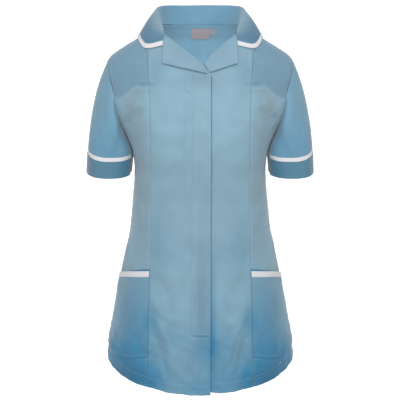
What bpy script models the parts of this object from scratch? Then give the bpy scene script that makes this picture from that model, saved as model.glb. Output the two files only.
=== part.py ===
"""A short-sleeved medical tunic, filled out as if worn, with no wearer.

The part stands in metres with +Z up, and its front faces -Y, so the wearer's right is at -X.
The origin lies midway between the two points where the shoulder seams meet the neck.
Sizes and tables are in millimetres, and a mesh's points are scaled to metres as it is made.
"""

import math
from collections import namedtuple

import bmesh
import bpy
from mathutils import Vector

MM = 0.001

# Cloth walls, each a little thicker than the real cloth, and the gaps between pieces
WALL = 1.3
COLLAR_WALL = 1.8
LAPEL_WALL = 1.5
TRIM_WALL = 1.0
SEAM_GAP = 0.3
LAY_GAP = 0.4
INSIDE_GAP = 0.95

# Faces of the body form
FRONT = -1
BACK = 1

# Sides of the garment, as worn
RIGHT = -1
LEFT = 1
HANDS = {"right": RIGHT, "left": LEFT}

# Lengths down from the neck points
ARMHOLE_TOP = -72.0
ARMHOLE_FOOT = -219.0
LAPEL_FOOT = -94.0
PLACKET_FOOT = -579.0
HEM = -681.0

# The hem is cut lower at the front
HEM_DIP = 39.5
HEM_DIP_POWER = 1.4
HEM_DIP_START = -470.0

# Centre front: the right front laps over the left one
LAP_EDGE = 21.3
UNDERLAP_EDGE = -14.0
LAP_RAISE = WALL + LAY_GAP
LAP_RAMP = (-36.0, -18.0)
LAP_RAMP_LEVELS = (-52.0, -72.0)
LAP_SHARES = (0.70, 0.85)
PLACKET_TOP = -108.0
PLACKET_WALL = 1.0

# The body form, a row for each level. Half the width at the side or shoulder, the depths of the front
# and back at the centre, and how full the curve between them is: 0.55 is an ellipse, more is squarer.
Level = namedtuple("Level", "height half_width front back front_full back_full")
BODY = (
    Level(0, 75, 52, 60, 0.46, 0.50),
    Level(-9, 92, 57, 65, 0.46, 0.50),
    Level(-18, 109, 62, 71, 0.46, 0.50),
    Level(-25, 121, 66, 77, 0.46, 0.50),
    Level(-32, 133, 70, 82, 0.46, 0.50),
    Level(-44, 153, 77, 87, 0.46, 0.50),
    Level(-56, 171, 84, 91, 0.47, 0.51),
    Level(-64, 180, 88, 94, 0.48, 0.52),
    Level(-72, 185, 92, 96, 0.50, 0.53),
    Level(-105, 188.5, 104, 102, 0.53, 0.55),
    Level(-147, 184, 118, 106, 0.55, 0.57),
    Level(-180, 172, 127, 107, 0.56, 0.57),
    Level(-203, 158, 130, 105, 0.58, 0.57),
    Level(-219, 149, 130, 104, 0.60, 0.57),
    Level(-236, 142, 129, 101, 0.61, 0.57),
    Level(-258, 136.5, 126, 97, 0.61, 0.57),
    Level(-285, 134, 120, 93, 0.60, 0.57),
    Level(-310, 134, 114, 89, 0.60, 0.57),
    Level(-345, 137, 107, 86, 0.58, 0.57),
    Level(-400, 142.5, 104, 87, 0.56, 0.57),
    Level(-450, 151, 109, 95, 0.55, 0.57),
    Level(-500, 162, 118, 106, 0.55, 0.57),
    Level(-550, 173, 127, 115, 0.56, 0.57),
    Level(-600, 182.5, 134, 121, 0.56, 0.57),
    Level(-650, 192, 138, 124, 0.56, 0.57),
    Level(-681, 195.5, 140, 126, 0.56, 0.57),
)

# Half the distance between the shaped front seams, by level
Shaped = namedtuple("Shaped", "height across")
SHAPED_SEAM = (
    Shaped(-20, 112),
    Shaped(-45, 106),
    Shaped(-75, 101.5),
    Shaped(-112, 98.5),
    Shaped(-170, 97),
    Shaped(-260, 97.5),
    Shaped(-345, 99),
    Shaped(-440, 100.5),
    Shaped(-540, 102.5),
    Shaped(-640, 105.5),
    Shaped(-681, 107),
)

# The neck edge of each middle front from the centre line, where the roll of the revers runs.
# Above the collar's front end it is the neck seam, up to the neck point.
Neck = namedtuple("Neck", "height right left")
NECK_EDGE = (
    Neck(0, -75, 75),
    Neck(-6, -74.3, 74.3),
    Neck(-11, -72.6, 72.6),
    Neck(-16, -69.0, 69.0),
    Neck(-40, -38.0, 39.5),
    Neck(-60, -11.0, 16.0),
    Neck(-72, 4.5, 6.5),
    Neck(-82, 11.5, -6.0),
    Neck(-94, LAP_EDGE, UNDERLAP_EDGE),
)

# The neck seam: its level at the neck points, its sag at the centre back, its front end, and the share
# of the collar's half that the back takes
NECK_LEVEL = -0.4
NECK_SAG = -1.3
NECK_FRONT = -16.0
NECK_BACK_SHARE = 0.62

# The revers: distance from the centre line and height of their top, tip and feet, how far the roll
# is raised, and the clearance of the left one from the right front's edge
LAPEL_TOP = (69.6, -17.0)
LAPEL_TIP = (70.8, -73.0)
LAPEL_TIP_SHARE = 0.60
LAPEL_FEET = {RIGHT: (14.0, -92.0), LEFT: (18.0, -89.0)}
LAPEL_REST = 0.9
LAPEL_ROLL_RISE = 1.6
LAPEL_CLEAR = 1.0
LAPEL_SPAN = (0.02, 0.985)
LAPEL_ROWS = 12
LAPEL_COLUMNS = 6

# Armhole: its depth in front of and behind the shoulder line, and how much lower its widest part sits
ARMHOLE_FRONT = 50.0
ARMHOLE_BACK = 51.0
ARMHOLE_SKEW = 0.35

# The largest folds of the cloth: each runs from its top to its foot, at a distance from the centre
# line on one face, and fades in from its top. A ridge has a positive rise and a trough a negative one.
Fold = namedtuple("Fold", "face top_across top foot_across foot width rise")
FOLDS = (
    Fold(FRONT, -52, -500, -66, -722, 20, 2.6),
    Fold(FRONT, -84, -470, -88, -722, 15, -3.0),
    Fold(FRONT, 56, -520, 68, -722, 22, 2.4),
    Fold(FRONT, 86, -490, 90, -722, 15, -2.8),
    Fold(FRONT, -124, -560, -136, -700, 22, 3.0),
    Fold(FRONT, 126, -540, 138, -700, 22, 2.8),
    Fold(BACK, -112, -520, -128, -690, 26, 4.5),
    Fold(BACK, -60, -480, -72, -690, 24, -4.0),
    Fold(BACK, -8, -540, -14, -690, 28, 4.0),
    Fold(BACK, 58, -500, 66, -690, 24, -4.5),
    Fold(BACK, 110, -530, 124, -690, 26, 4.0),
)

# Pockets: their slanting mouths and rounded feet, from the shaped seam to the side seam
Pocket = namedtuple("Pocket", "share mouth foot")
POCKET = (
    Pocket(0.0, -480.5, -626),
    Pocket(0.5, -491, -650),
    Pocket(1.0, -506.5, -655),
)
POCKET_WALL = 1.1
POCKET_GAP = 0.6
POCKET_ROWS = 9
POCKET_INSET = 0.003
POCKET_TRIM_DEPTH = 12.0
POCKET_TRIM_PROUD = 0.3

# Sleeve rings: middle of the ring, its half widths to the outside and to the body, its half depth,
# how square it is (2 is an ellipse), its hollow against the body, and its heights outside and inside
Ring = namedtuple("Ring", "middle outer inner half_depth square hollow height_outer height_inner")
SLEEVE_END = Ring(180, 45.5, 47, 61, 2.6, 6.5, -252, -259)
TRIM_END = Ring(181, 46, 46.5, 62, 2.6, 6.5, -261, -268)
CUFF_END = Ring(184, 45.5, 45.5, 64, 2.8, 4.0, -292, -300)
HOLLOW_WIDTH = 26.0
SLEEVE_SHIFT = Vector((0.40, 0.0, -0.12))
TRIM_PROUD = 0.5

# How the sleeve leaves the armhole, by turn from the shoulder (0) to the underarm (1): its lean away
# from the body, its pull at the armhole and its pull at the band
Leave = namedtuple("Leave", "turn lean pull_top pull_band")
SLEEVE_LINES = (
    Leave(0.0, 0.50, 58, 58),
    Leave(0.25, 0.35, 48, 50),
    Leave(0.5, 0.12, 34, 34),
    Leave(0.75, -0.20, 18, 18),
    Leave(0.88, -0.30, 12, 12),
    Leave(1.0, 0.0, 9, 9),
)

# The collar's half, from the centre back to its front end. The roll is a line in space, and the
# fall's edge lies on the body form, given by its distance from the centre line and its level.
ROLL_LINE = (
    Vector((0, 74, 38)),
    Vector((32, 73, 38)),
    Vector((60, 62, 38)),
    Vector((80, 37, 36)),
    Vector((86, 8, 29)),
    Vector((80, -20, 10)),
    Vector((70.6, -46, -8.8)),
)
FallEdge = namedtuple("FallEdge", "face across height")
FALL_EDGE = (
    FallEdge(BACK, 0, -24),
    FallEdge(BACK, 55, -24),
    FallEdge(BACK, 96, -24),
    FallEdge(BACK, 119, -25.5),
    FallEdge(FRONT, 121, -29),
    FallEdge(FRONT, 106, -45),
    FallEdge(FRONT, 71, -40),
)
COLLAR_LIFT = 1.1
FALL_REST = 3.2
ROLL_RADIUS = 3.4
ROLL_SQUARE = 0.62
FALL_SWELL = 2.0
STAND_STEPS = 3
ROLL_STEPS = 4
FALL_STEPS = 4
COLLAR_SHARES = (0.0, 0.09, 0.18, 0.27, 0.36, 0.45, 0.53, 0.60, 0.66, 0.72, 0.78, 0.84, 0.89, 0.94, 1.0)
COLLAR_TRIM_WIDTH = 9.0

# Inside the back neck
TAPE_TOP = -0.8
TAPE_DEPTH = 6.5
TAPE_HALF = 70.0
LABEL_HALF = 18.5
LABEL_TOP = -7.8
LABEL_DEPTH = 21.0
TAB_EDGES = (21.0, 31.5)
TAB_DEPTH = 12.0

# Columns of cloth across each piece, and rows of it below the armhole
CENTER_COLUMNS = 8
SIDE_COLUMNS = 7
BACK_COLUMNS = 18
ARMHOLE_ROWS = 12
SKIRT_ROWS = 19
SLEEVE_ROWS = 8
CUFF_ROWS = 2
SIDE_FRONT_TOP = -22.0
BACK_TOP = -7.0
SHOULDER_LEVELS = (-1.2, -5, -10, -16, -20, -27, -35, -44, -53, -61, -67)

# Colours as sRGB, from the cloth and its white edges
SKY = (0.53, 0.68, 0.76)
SKY_DEEP = (0.44, 0.61, 0.71)
WHITE = (0.93, 0.94, 0.94)
LABEL_GREY = (0.66, 0.66, 0.64)


def mix(start, end, share):
    return start + (end - start) * share


def ease(share):
    """A soft step from 0 to 1."""
    share = min(1.0, max(0.0, share))
    return share * share * (3.0 - 2.0 * share)


def bezier(a, b, c, d, t):
    """A cubic curve from a to d, pulled towards b and c on the way."""
    s = 1.0 - t
    return a * (s * s * s) + b * (3.0 * s * s * t) + c * (3.0 * s * t * t) + d * (t * t * t)


def read(table, column, place):
    """A column of a table at a place along its first column, on a smooth curve with no overshoot."""
    rows = table if table[0][0] < table[-1][0] else table[::-1]
    keys = [row[0] for row in rows]
    values = [getattr(row, column) for row in rows]
    place = min(keys[-1], max(keys[0], place))
    steps = [(values[i + 1] - values[i]) / (keys[i + 1] - keys[i]) for i in range(len(keys) - 1)]
    index = next(i for i in range(len(steps)) if place <= keys[i + 1])

    def slope(i):
        if i == 0 or i == len(steps):
            return steps[min(i, len(steps) - 1)]
        before, after = steps[i - 1], steps[i]
        if before * after <= 0.0:
            return 0.0
        return 2.0 * before * after / (before + after)

    width = keys[index + 1] - keys[index]
    share = (place - keys[index]) / width
    start, end = values[index], values[index + 1]
    return bezier(start, start + slope(index) * width / 3.0, end - slope(index + 1) * width / 3.0, end, share)


def along(points, share):
    """A place on a smooth curve through points in space, share 0 to 1, evenly by span."""
    spans = len(points) - 1
    place = min(spans - 1e-6, max(0.0, share * spans))
    index = int(place)
    before = points[index - 1] if index > 0 else points[0] * 2 - points[1]
    after = points[index + 2] if index + 2 <= spans else points[-1] * 2 - points[-2]
    start, end = points[index], points[index + 1]
    return bezier(start, start + (end - before) / 6.0, end - (after - start) / 6.0, end, place - index)


def form_point(face, turn, height):
    """A point of the body form: turn is -1 at the right side, 0 at the centre and 1 at the left side."""
    depth = read(BODY, "front" if face == FRONT else "back", height)
    full = read(BODY, "front_full" if face == FRONT else "back_full", height)
    side = math.copysign(1.0, turn)
    across = read(BODY, "half_width", height) * bezier(0.0, full, 1.0, 1.0, abs(turn))
    outward = bezier(1.0, 1.0, full, 0.0, abs(turn))
    forward = -face * outward
    dip = HEM_DIP * ease((HEM_DIP_START - height) / (HEM_DIP_START - HEM))
    dip *= (0.5 * (forward + math.sqrt(forward * forward + 0.02))) ** HEM_DIP_POWER
    return Vector((side * across, face * (depth * outward + 0.5 * SEAM_GAP), height - dip))


def form_normal(face, turn, height):
    """The direction straight out of the body form."""
    step = 0.004 if abs(turn) < 0.99 else -0.004 * math.copysign(1.0, turn)
    rise = 1.5 if height < -3.0 else -1.5
    here = form_point(face, turn, height)
    across = (form_point(face, turn + step, height) - here) / step
    up = (form_point(face, turn, height + rise) - here) / rise
    return (across.cross(up) * (-face)).normalized()


def fold_rise(face, across, height):
    """How far the folds lift the cloth at a place."""
    rise = 0.0
    for fold in FOLDS:
        if fold.face == face:
            share = (fold.top - height) / (fold.top - fold.foot)
            middle = mix(fold.top_across, fold.foot_across, share)
            away = (across - middle) / fold.width
            rise += fold.rise * ease(share * 1.4) * math.exp(-away * away)
    return rise


def cloth_point(face, turn, height, lift):
    """A point at a distance outside the body form, with the folds."""
    point = form_point(face, turn, height)
    return point + form_normal(face, turn, height) * (lift + fold_rise(face, point.x, height))


def turn_at(face, height, across):
    """The turn at which the body form lies a distance from the centre line."""
    share = abs(across) / read(BODY, "half_width", height)
    full = read(BODY, "front_full" if face == FRONT else "back_full", height)
    low, high = 0.0, 1.0
    for _ in range(40):
        middle = 0.5 * (low + high)
        if bezier(0.0, full, 1.0, 1.0, middle) < share:
            low = middle
        else:
            high = middle
    return math.copysign(0.5 * (low + high), across)


def armhole_level(step):
    """The height of a step round the armhole, from the shoulder (0) to the underarm."""
    angle = math.pi * step / ARMHOLE_ROWS
    return mix(ARMHOLE_TOP, ARMHOLE_FOOT, 0.5 * (1.0 - math.cos(angle)))


def edge_turn(face, height):
    """The turn of the armhole, side seam or shoulder seam at a height, 1 where it is a side or shoulder."""
    if height >= ARMHOLE_TOP or height <= ARMHOLE_FOOT:
        return 1.0
    down = (ARMHOLE_TOP - height) / (ARMHOLE_TOP - ARMHOLE_FOOT)
    cosine = 1.0 - 2.0 * down
    widest = ARMHOLE_FRONT if face == FRONT else ARMHOLE_BACK
    out = widest * math.sqrt(1.0 - cosine * cosine) * (1.0 - ARMHOLE_SKEW * cosine)
    share = out / read(BODY, "front" if face == FRONT else "back", height)
    full = read(BODY, "front_full" if face == FRONT else "back_full", height)
    low, high = 0.0, 1.0
    for _ in range(40):
        middle = 0.5 * (low + high)
        if bezier(1.0, 1.0, full, 0.0, middle) > share:
            low = middle
        else:
            high = middle
    return 0.5 * (low + high)


def levels(top, foot=HEM):
    """The rows of cloth between two heights: shoulder, armhole, then evenly down to the hem."""
    rows = list(SHOULDER_LEVELS)
    rows += [armhole_level(step) for step in range(ARMHOLE_ROWS + 1)]
    rows += [mix(ARMHOLE_FOOT, HEM, (row + 1) / SKIRT_ROWS) for row in range(SKIRT_ROWS)]
    return [row for row in rows if foot - 1e-6 <= row <= top]


def rows_between(top, foot):
    """A piece's ends, with the rows of the cloth under it between them, so that its facets match."""
    inside = [row for row in levels(top, foot) if foot + 1.0 < row < top - 1.0]
    return [top] + inside + [foot]


def material(name, colour, roughness):
    """A plain finish."""
    finish = bpy.data.materials.new(name)
    finish.use_nodes = True
    shader = finish.node_tree.nodes["Principled BSDF"]
    linear = [((c + 0.055) / 1.055) ** 2.4 for c in colour]
    shader.inputs["Base Color"].default_value = (*linear, 1.0)
    shader.inputs["Roughness"].default_value = roughness
    shader.inputs["Metallic"].default_value = 0.0
    return finish


def wall(name, outer, inner, finish, ring=False):
    """One closed wall of cloth, lofted between the rows of its outer and inner points."""
    mesh = bpy.data.meshes.new(name)
    shape = bmesh.new()
    outside = [[shape.verts.new(point * MM) for point in row] for row in outer]
    inside = [[shape.verts.new(point * MM) for point in row] for row in inner]
    rows = len(outer)
    columns = len(outer[0])
    spans = columns if ring else columns - 1
    for skin, flip in ((outside, False), (inside, True)):
        for r in range(rows - 1):
            for c in range(spans):
                n = (c + 1) % columns
                face = [skin[r][c], skin[r][n], skin[r + 1][n], skin[r + 1][c]]
                shape.faces.new(face[::-1] if flip else face)
    for c in range(spans):
        n = (c + 1) % columns
        shape.faces.new((outside[0][n], outside[0][c], inside[0][c], inside[0][n]))
        shape.faces.new((outside[-1][c], outside[-1][n], inside[-1][n], inside[-1][c]))
    if not ring:
        for r in range(rows - 1):
            shape.faces.new((outside[r][0], outside[r + 1][0], inside[r + 1][0], inside[r][0]))
            shape.faces.new((outside[r + 1][-1], outside[r][-1], inside[r][-1], inside[r + 1][-1]))
    bmesh.ops.recalc_face_normals(shape, faces=shape.faces)
    shape.to_mesh(mesh)
    shape.free()
    mesh.materials.append(finish)
    mesh.shade_smooth()
    mesh.set_sharp_from_angle(angle=math.radians(40))
    piece = bpy.data.objects.new(name, mesh)
    tunic.objects.link(piece)
    return piece


def sheet(name, rows, turns, face, lift, thick, finish):
    """A wall on the body form. turns(height) gives the turns across a row, lift(turn, height) its outside."""
    outer = []
    inner = []
    for height in rows:
        places = turns(height)
        outer.append([cloth_point(face, turn, height, lift(turn, height)) for turn in places])
        inner.append([cloth_point(face, turn, height, lift(turn, height) - thick) for turn in places])
    return wall(name, outer, inner, finish)


def flat(_turn, _height):
    return 0.0


def lap_lift(turn, height):
    """The right front rises over the left one at the centre."""
    across = form_point(FRONT, turn, height).x
    over = ease((across - LAP_RAMP[0]) / (LAP_RAMP[1] - LAP_RAMP[0]))
    down = ease((height - LAP_RAMP_LEVELS[0]) / (LAP_RAMP_LEVELS[1] - LAP_RAMP_LEVELS[0]))
    return LAP_RAISE * over * down


def seam_across(height):
    """The shaped seam's distance from the centre line, or the shoulder's above its top."""
    return read(SHAPED_SEAM, "across", height)


def center_turns(hand, height):
    """The turns across a middle front, from its shaped or shoulder seam to its neck or centre edge."""
    inner = read(NECK_EDGE, "right" if hand == RIGHT else "left", height)
    outer = hand * (seam_across(height) - 0.5 * SEAM_GAP)
    if height > SHAPED_SEAM[0].height:
        outer = hand * read(BODY, "half_width", height)
    wide = CENTER_COLUMNS - len(LAP_SHARES)
    shares = [LAP_SHARES[0] * c / wide for c in range(wide)] + [*LAP_SHARES, 1.0]
    return [turn_at(FRONT, height, mix(outer, inner, share)) for share in shares]


def side_turns(hand, height):
    """The turns across a side front, from the shaped seam to the side, armhole or shoulder."""
    start = abs(turn_at(FRONT, height, seam_across(height) + 0.5 * SEAM_GAP))
    end = edge_turn(FRONT, height)
    return [hand * mix(start, end, c / SIDE_COLUMNS) for c in range(SIDE_COLUMNS + 1)]


def back_turns(height):
    """The turns across the back, from side to side."""
    edge = edge_turn(BACK, height)
    return [mix(-edge, edge, c / BACK_COLUMNS) for c in range(BACK_COLUMNS + 1)]


def build_fronts():
    """The four front panels."""
    for word, hand in HANDS.items():
        sheet(
            f"front_center_{word}",
            levels(SHOULDER_LEVELS[0]),
            lambda height, hand=hand: center_turns(hand, height),
            FRONT,
            lap_lift if hand == RIGHT else flat,
            WALL,
            sky,
        )
        sheet(
            f"front_side_{word}",
            levels(SIDE_FRONT_TOP),
            lambda height, hand=hand: side_turns(hand, height),
            FRONT,
            flat,
            WALL,
            sky,
        )


def neck_seam(share):
    """The neck seam on the body form, from the centre back (0) to the collar's front end (1)."""
    if share <= NECK_BACK_SHARE:
        angle = 0.5 * math.pi * share / NECK_BACK_SHARE
        across = NECK_EDGE[0].left * math.sin(angle)
        height = NECK_SAG * math.cos(angle) ** 2 + NECK_LEVEL
        return cloth_point(BACK, turn_at(BACK, height, across), height, 0.0)
    height = mix(NECK_LEVEL, NECK_FRONT, (share - NECK_BACK_SHARE) / (1.0 - NECK_BACK_SHARE))
    return cloth_point(FRONT, turn_at(FRONT, height, read(NECK_EDGE, "left", height)), height, 0.0)


def build_back():
    """The back panel. Its top row is the neck seam, and the rows under it are level."""
    rows = levels(BACK_TOP)
    outer = []
    inner = []
    for height in rows:
        turns = back_turns(height)
        outer.append([cloth_point(BACK, turn, height, 0.0) for turn in turns])
        inner.append([cloth_point(BACK, turn, height, -WALL) for turn in turns])
    top_outer = []
    top_inner = []
    for c in range(BACK_COLUMNS + 1):
        side = 2.0 * c / BACK_COLUMNS - 1.0
        across = NECK_EDGE[0].left * math.sin(0.5 * math.pi * side)
        height = NECK_SAG * math.cos(0.5 * math.pi * side) ** 2 + NECK_LEVEL
        turn = turn_at(BACK, height, across)
        top_outer.append(cloth_point(BACK, turn, height, 0.0))
        top_inner.append(cloth_point(BACK, turn, height, -WALL))
    wall("back", [top_outer] + outer, [top_inner] + inner, sky)


def build_placket():
    """The fly band on the right front, from under the lapel to its foot."""
    rows = rows_between(PLACKET_TOP, PLACKET_FOOT)

    def turns(height):
        return center_turns(RIGHT, height)[-3:]

    def lift(turn, height):
        return lap_lift(turn, height) + LAY_GAP + PLACKET_WALL

    sheet("placket", rows, turns, FRONT, lift, PLACKET_WALL, sky)


def lapel_roll(hand, height):
    """Where a lapel's roll runs across the front. The left one stops at the right front's edge."""
    right = read(NECK_EDGE, "right", height)
    if hand == RIGHT:
        return min(right, LAPEL_FEET[RIGHT][0])
    return max(read(NECK_EDGE, "left", height), right + LAPEL_CLEAR)


def lapel_rim(hand, share):
    """The free edge of a lapel, from the collar's end out to its tip and in to its foot."""
    if share < LAPEL_TIP_SHARE:
        part = share / LAPEL_TIP_SHARE
        return hand * mix(LAPEL_TOP[0], LAPEL_TIP[0], part), mix(LAPEL_TOP[1], LAPEL_TIP[1], part)
    part = (share - LAPEL_TIP_SHARE) / (1.0 - LAPEL_TIP_SHARE)
    foot = LAPEL_FEET[hand]
    return mix(hand * LAPEL_TIP[0], foot[0], part), mix(LAPEL_TIP[1], foot[1], part)


def build_lapels():
    """The revers, each lying on its middle front and raised along its roll."""
    for word, hand in HANDS.items():
        outer = []
        inner = []
        for r in range(LAPEL_ROWS + 1):
            share = mix(*LAPEL_SPAN, r / LAPEL_ROWS)
            roll_height = mix(LAPEL_TOP[1] - 1.0, LAPEL_FEET[hand][1] + 1.5, share)
            roll_across = lapel_roll(hand, roll_height)
            rim_across, rim_height = lapel_rim(hand, share)
            outer_row = []
            inner_row = []
            for c in range(LAPEL_COLUMNS + 1):
                part = c / LAPEL_COLUMNS
                height = mix(roll_height, rim_height, part)
                turn = turn_at(FRONT, height, mix(roll_across, rim_across, part))
                rest = LAPEL_REST + LAPEL_ROLL_RISE * (1.0 - part) ** 2
                if hand == RIGHT:
                    rest += lap_lift(turn, height)
                outer_row.append(cloth_point(FRONT, turn, height, rest + LAPEL_WALL))
                inner_row.append(cloth_point(FRONT, turn, height, rest))
            outer.append(outer_row)
            inner.append(inner_row)
        wall(f"lapel_{word}", outer, inner, sky)


def build_pockets():
    """The pockets and their white edges, on the side fronts."""
    trim_wall = POCKET_WALL + POCKET_TRIM_PROUD
    for word, hand in HANDS.items():
        for name, first, last, rows, thick, finish in (
            (f"pocket_trim_{word}", 0.0, POCKET_TRIM_DEPTH, 1, trim_wall, white),
            (f"pocket_{word}", POCKET_TRIM_DEPTH + SEAM_GAP, None, POCKET_ROWS, POCKET_WALL, sky_deep),
        ):
            outer = []
            inner = []
            for r in range(rows + 1):
                outer_row = []
                inner_row = []
                for c in range(SIDE_COLUMNS + 1):
                    share = c / SIDE_COLUMNS
                    mouth = read(POCKET, "mouth", share)
                    foot = read(POCKET, "foot", share) if last is None else mouth - last
                    height = mix(mouth - first, foot, r / rows)
                    turns = side_turns(hand, height)
                    turn = mix(turns[0], turns[-1], mix(POCKET_INSET, 1.0 - POCKET_INSET, share))
                    outer_row.append(cloth_point(FRONT, turn, height, POCKET_GAP + thick))
                    inner_row.append(cloth_point(FRONT, turn, height, POCKET_GAP))
                outer.append(outer_row)
                inner.append(inner_row)
            wall(name, outer, inner, finish)


def ring_point(ring, angle):
    """A point of a left sleeve ring, angle 0 at the outside, a half turn at the body, front first."""
    power = 2.0 / ring.square
    cosine = math.cos(angle)
    sine = math.sin(angle)
    reach = ring.outer if cosine > 0.0 else ring.inner
    x = ring.middle + reach * math.copysign(abs(cosine) ** power, cosine)
    y = -ring.half_depth * math.copysign(abs(sine) ** power, sine)
    if cosine < 0.0:
        x += ring.hollow * math.exp(-((y / HOLLOW_WIDTH) ** 2))
    z = mix(ring.height_outer, ring.height_inner, 0.5 * (1.0 - cosine))
    return Vector((x, y, z))


def sleeve_start(step):
    """The armhole at a step round it from the shoulder, front first, with its panel's normal."""
    face = FRONT if step <= ARMHOLE_ROWS else BACK
    down = step if step <= ARMHOLE_ROWS else 2 * ARMHOLE_ROWS - step
    height = armhole_level(down)
    turn = edge_turn(face, height)
    point = cloth_point(face, turn, height, 0.0)
    if down in (0, ARMHOLE_ROWS):
        point.y = 0.0
    return point + SLEEVE_SHIFT, form_normal(face, turn, height)


def sleeve_line(step, share):
    """A line down the left sleeve from the armhole to the band."""
    start, _ = sleeve_start(step)
    angle = math.pi * step / ARMHOLE_ROWS
    end = ring_point(SLEEVE_END, angle)
    turn = step / ARMHOLE_ROWS
    turn = turn if turn <= 1.0 else 2.0 - turn
    lean = read(SLEEVE_LINES, "lean", turn)
    pull_top = read(SLEEVE_LINES, "pull_top", turn)
    pull_band = read(SLEEVE_LINES, "pull_band", turn)
    leave = Vector((lean, 0.0, -1.0)).normalized() * pull_top
    arrive = Vector((0.08, 0.0, -1.0)).normalized() * pull_band
    return bezier(start, start + leave, end - arrive, end, share)


def ring_walls(rows, first_normals=None, thick=WALL):
    """The inner points of a tube from its outer rows, straight in from each and level at its foot."""
    steps = len(rows[0])
    inner = []
    for r, row in enumerate(rows):
        above = rows[max(0, r - 1)]
        below = rows[min(len(rows) - 1, r + 1)]
        inner_row = []
        for c, point in enumerate(row):
            round_way = row[(c + 1) % steps] - row[c - 1]
            down = below[c] - above[c]
            normal = round_way.cross(down).normalized()
            if r == 0 and first_normals:
                normal = mix(first_normals[c], normal, armhole_blend(c, steps)).normalized()
            elif r == len(rows) - 1 or not first_normals:
                normal = Vector((normal.x, normal.y, 0.0)).normalized()
            inner_row.append(point - normal * thick)
        inner.append(inner_row)
    return inner


def armhole_blend(step, steps):
    """0 at the shoulder, where sleeve and panel share one slope, and 1 round the underarm."""
    away = min(step, steps - step) / (0.5 * steps)
    return ease((away - 0.15) / 0.3)


def build_sleeves():
    """Sleeve, white band and cuff, each a tube, on the left and mirrored to the right."""
    steps = 2 * ARMHOLE_ROWS
    angles = [math.pi * step / ARMHOLE_ROWS for step in range(steps)]
    normals = [sleeve_start(step)[1] for step in range(steps)]
    sleeve = [[sleeve_line(step, r / SLEEVE_ROWS) for step in range(steps)] for r in range(SLEEVE_ROWS + 1)]
    band_top = [ring_point(SLEEVE_END, a) for a in angles]
    band_foot = [ring_point(TRIM_END, a) for a in angles]
    cuff_foot = [ring_point(CUFF_END, a) for a in angles]
    gap = Vector((0.0, 0.0, SEAM_GAP))
    band = [[p - gap for p in band_top], list(band_foot)]
    cuff_top = [p - gap for p in band_foot]
    cuff = [[mix(cuff_top[s], cuff_foot[s], r / CUFF_ROWS) for s in range(steps)] for r in range(CUFF_ROWS + 1)]
    tubes = (
        ("sleeve", sleeve, ring_walls(sleeve, normals), sky_deep),
        ("sleeve_trim", ring_walls(band, thick=-TRIM_PROUD), ring_walls(band), white),
        ("cuff", cuff, ring_walls(cuff), sky_deep),
    )
    for word, hand in HANDS.items():
        for name, outer, inner, finish in tubes:
            sided = [
                [[Vector((hand * p.x, p.y, p.z)) for p in row] for row in skin]
                for skin in (outer, inner)
            ]
            wall(f"{name}_{word}", sided[0], sided[1], finish, ring=True)


def fall_edge(share):
    """The edge of the collar's fall, resting just clear of the body form."""
    points = []
    for row in FALL_EDGE:
        turn = turn_at(row.face, row.height, row.across)
        points.append(cloth_point(row.face, turn, row.height, FALL_REST))
    return along(points, share)


def collar_section(share):
    """The collar's outside from its neck seam, up the stand, round the roll and down the fall."""
    seam = neck_seam(share) + Vector((0.0, 0.0, COLLAR_LIFT))
    roll = along(ROLL_LINE, share)
    edge = fall_edge(share)
    up = Vector((0.0, 0.0, 1.0))
    out = Vector((edge.x - roll.x, edge.y - roll.y, 0.0)).normalized()
    way = along(ROLL_LINE, share + 0.01) - along(ROLL_LINE, share - 0.01)
    square = Vector((-way.y, way.x, 0.0)).normalized()
    out = mix(square, out, ease((share - ROLL_SQUARE) / (1.0 - ROLL_SQUARE))).normalized()
    center = roll - up * ROLL_RADIUS
    reach = edge - center
    reach_out = reach.dot(out)
    slope = math.atan2(-reach.z, reach_out) + math.asin(ROLL_RADIUS / math.hypot(reach.z, reach_out))
    turned = 0.5 * math.pi + slope

    def round_roll(angle):
        return center + (up * math.sin(angle) - out * math.cos(angle)) * ROLL_RADIUS

    stand = [mix(seam, round_roll(0.0), s / STAND_STEPS) for s in range(STAND_STEPS)]
    bend = [round_roll(turned * s / ROLL_STEPS) for s in range(ROLL_STEPS + 1)]
    swell = (up * math.sin(turned) - out * math.cos(turned)) * FALL_SWELL
    fall = []
    for s in range(1, FALL_STEPS + 1):
        part = s / FALL_STEPS
        fall.append(mix(bend[-1], edge, part) + swell * math.sin(math.pi * part))
    return stand + bend + fall


def build_collar():
    """The collar, and the white edge that lies on its fall."""
    shares = [-share for share in COLLAR_SHARES[:0:-1]] + list(COLLAR_SHARES)
    rows = []
    for share in shares:
        side = -1.0 if share < 0.0 else 1.0
        rows.append([Vector((side * p.x, p.y, p.z)) for p in collar_section(abs(share))])
    normals = []
    for r, row in enumerate(rows):
        before = rows[max(0, r - 1)]
        after = rows[min(len(rows) - 1, r + 1)]
        line = []
        for c in range(len(row)):
            way = after[c] - before[c]
            down = row[min(len(row) - 1, c + 1)] - row[max(0, c - 1)]
            line.append(way.cross(down).normalized())
        normals.append(line)
    under = [[p - n * COLLAR_WALL for p, n in zip(row, line)] for row, line in zip(rows, normals)]
    wall("collar", rows, under, sky)
    trim_outer = []
    trim_inner = []
    for row, line in zip(rows, normals):
        last = (row[-1] - row[-2]).length
        back = min(0.95, COLLAR_TRIM_WIDTH / last)
        inside = mix(row[-1], row[-2], back)
        inside_normal = mix(line[-1], line[-2], back).normalized()
        pairs = ((row[-1], line[-1]), (inside, inside_normal))
        trim_outer.append([p + n * (LAY_GAP + TRIM_WALL) for p, n in pairs])
        trim_inner.append([p + n * LAY_GAP for p, n in pairs])
    wall("collar_trim", trim_outer, trim_inner, white)


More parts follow.
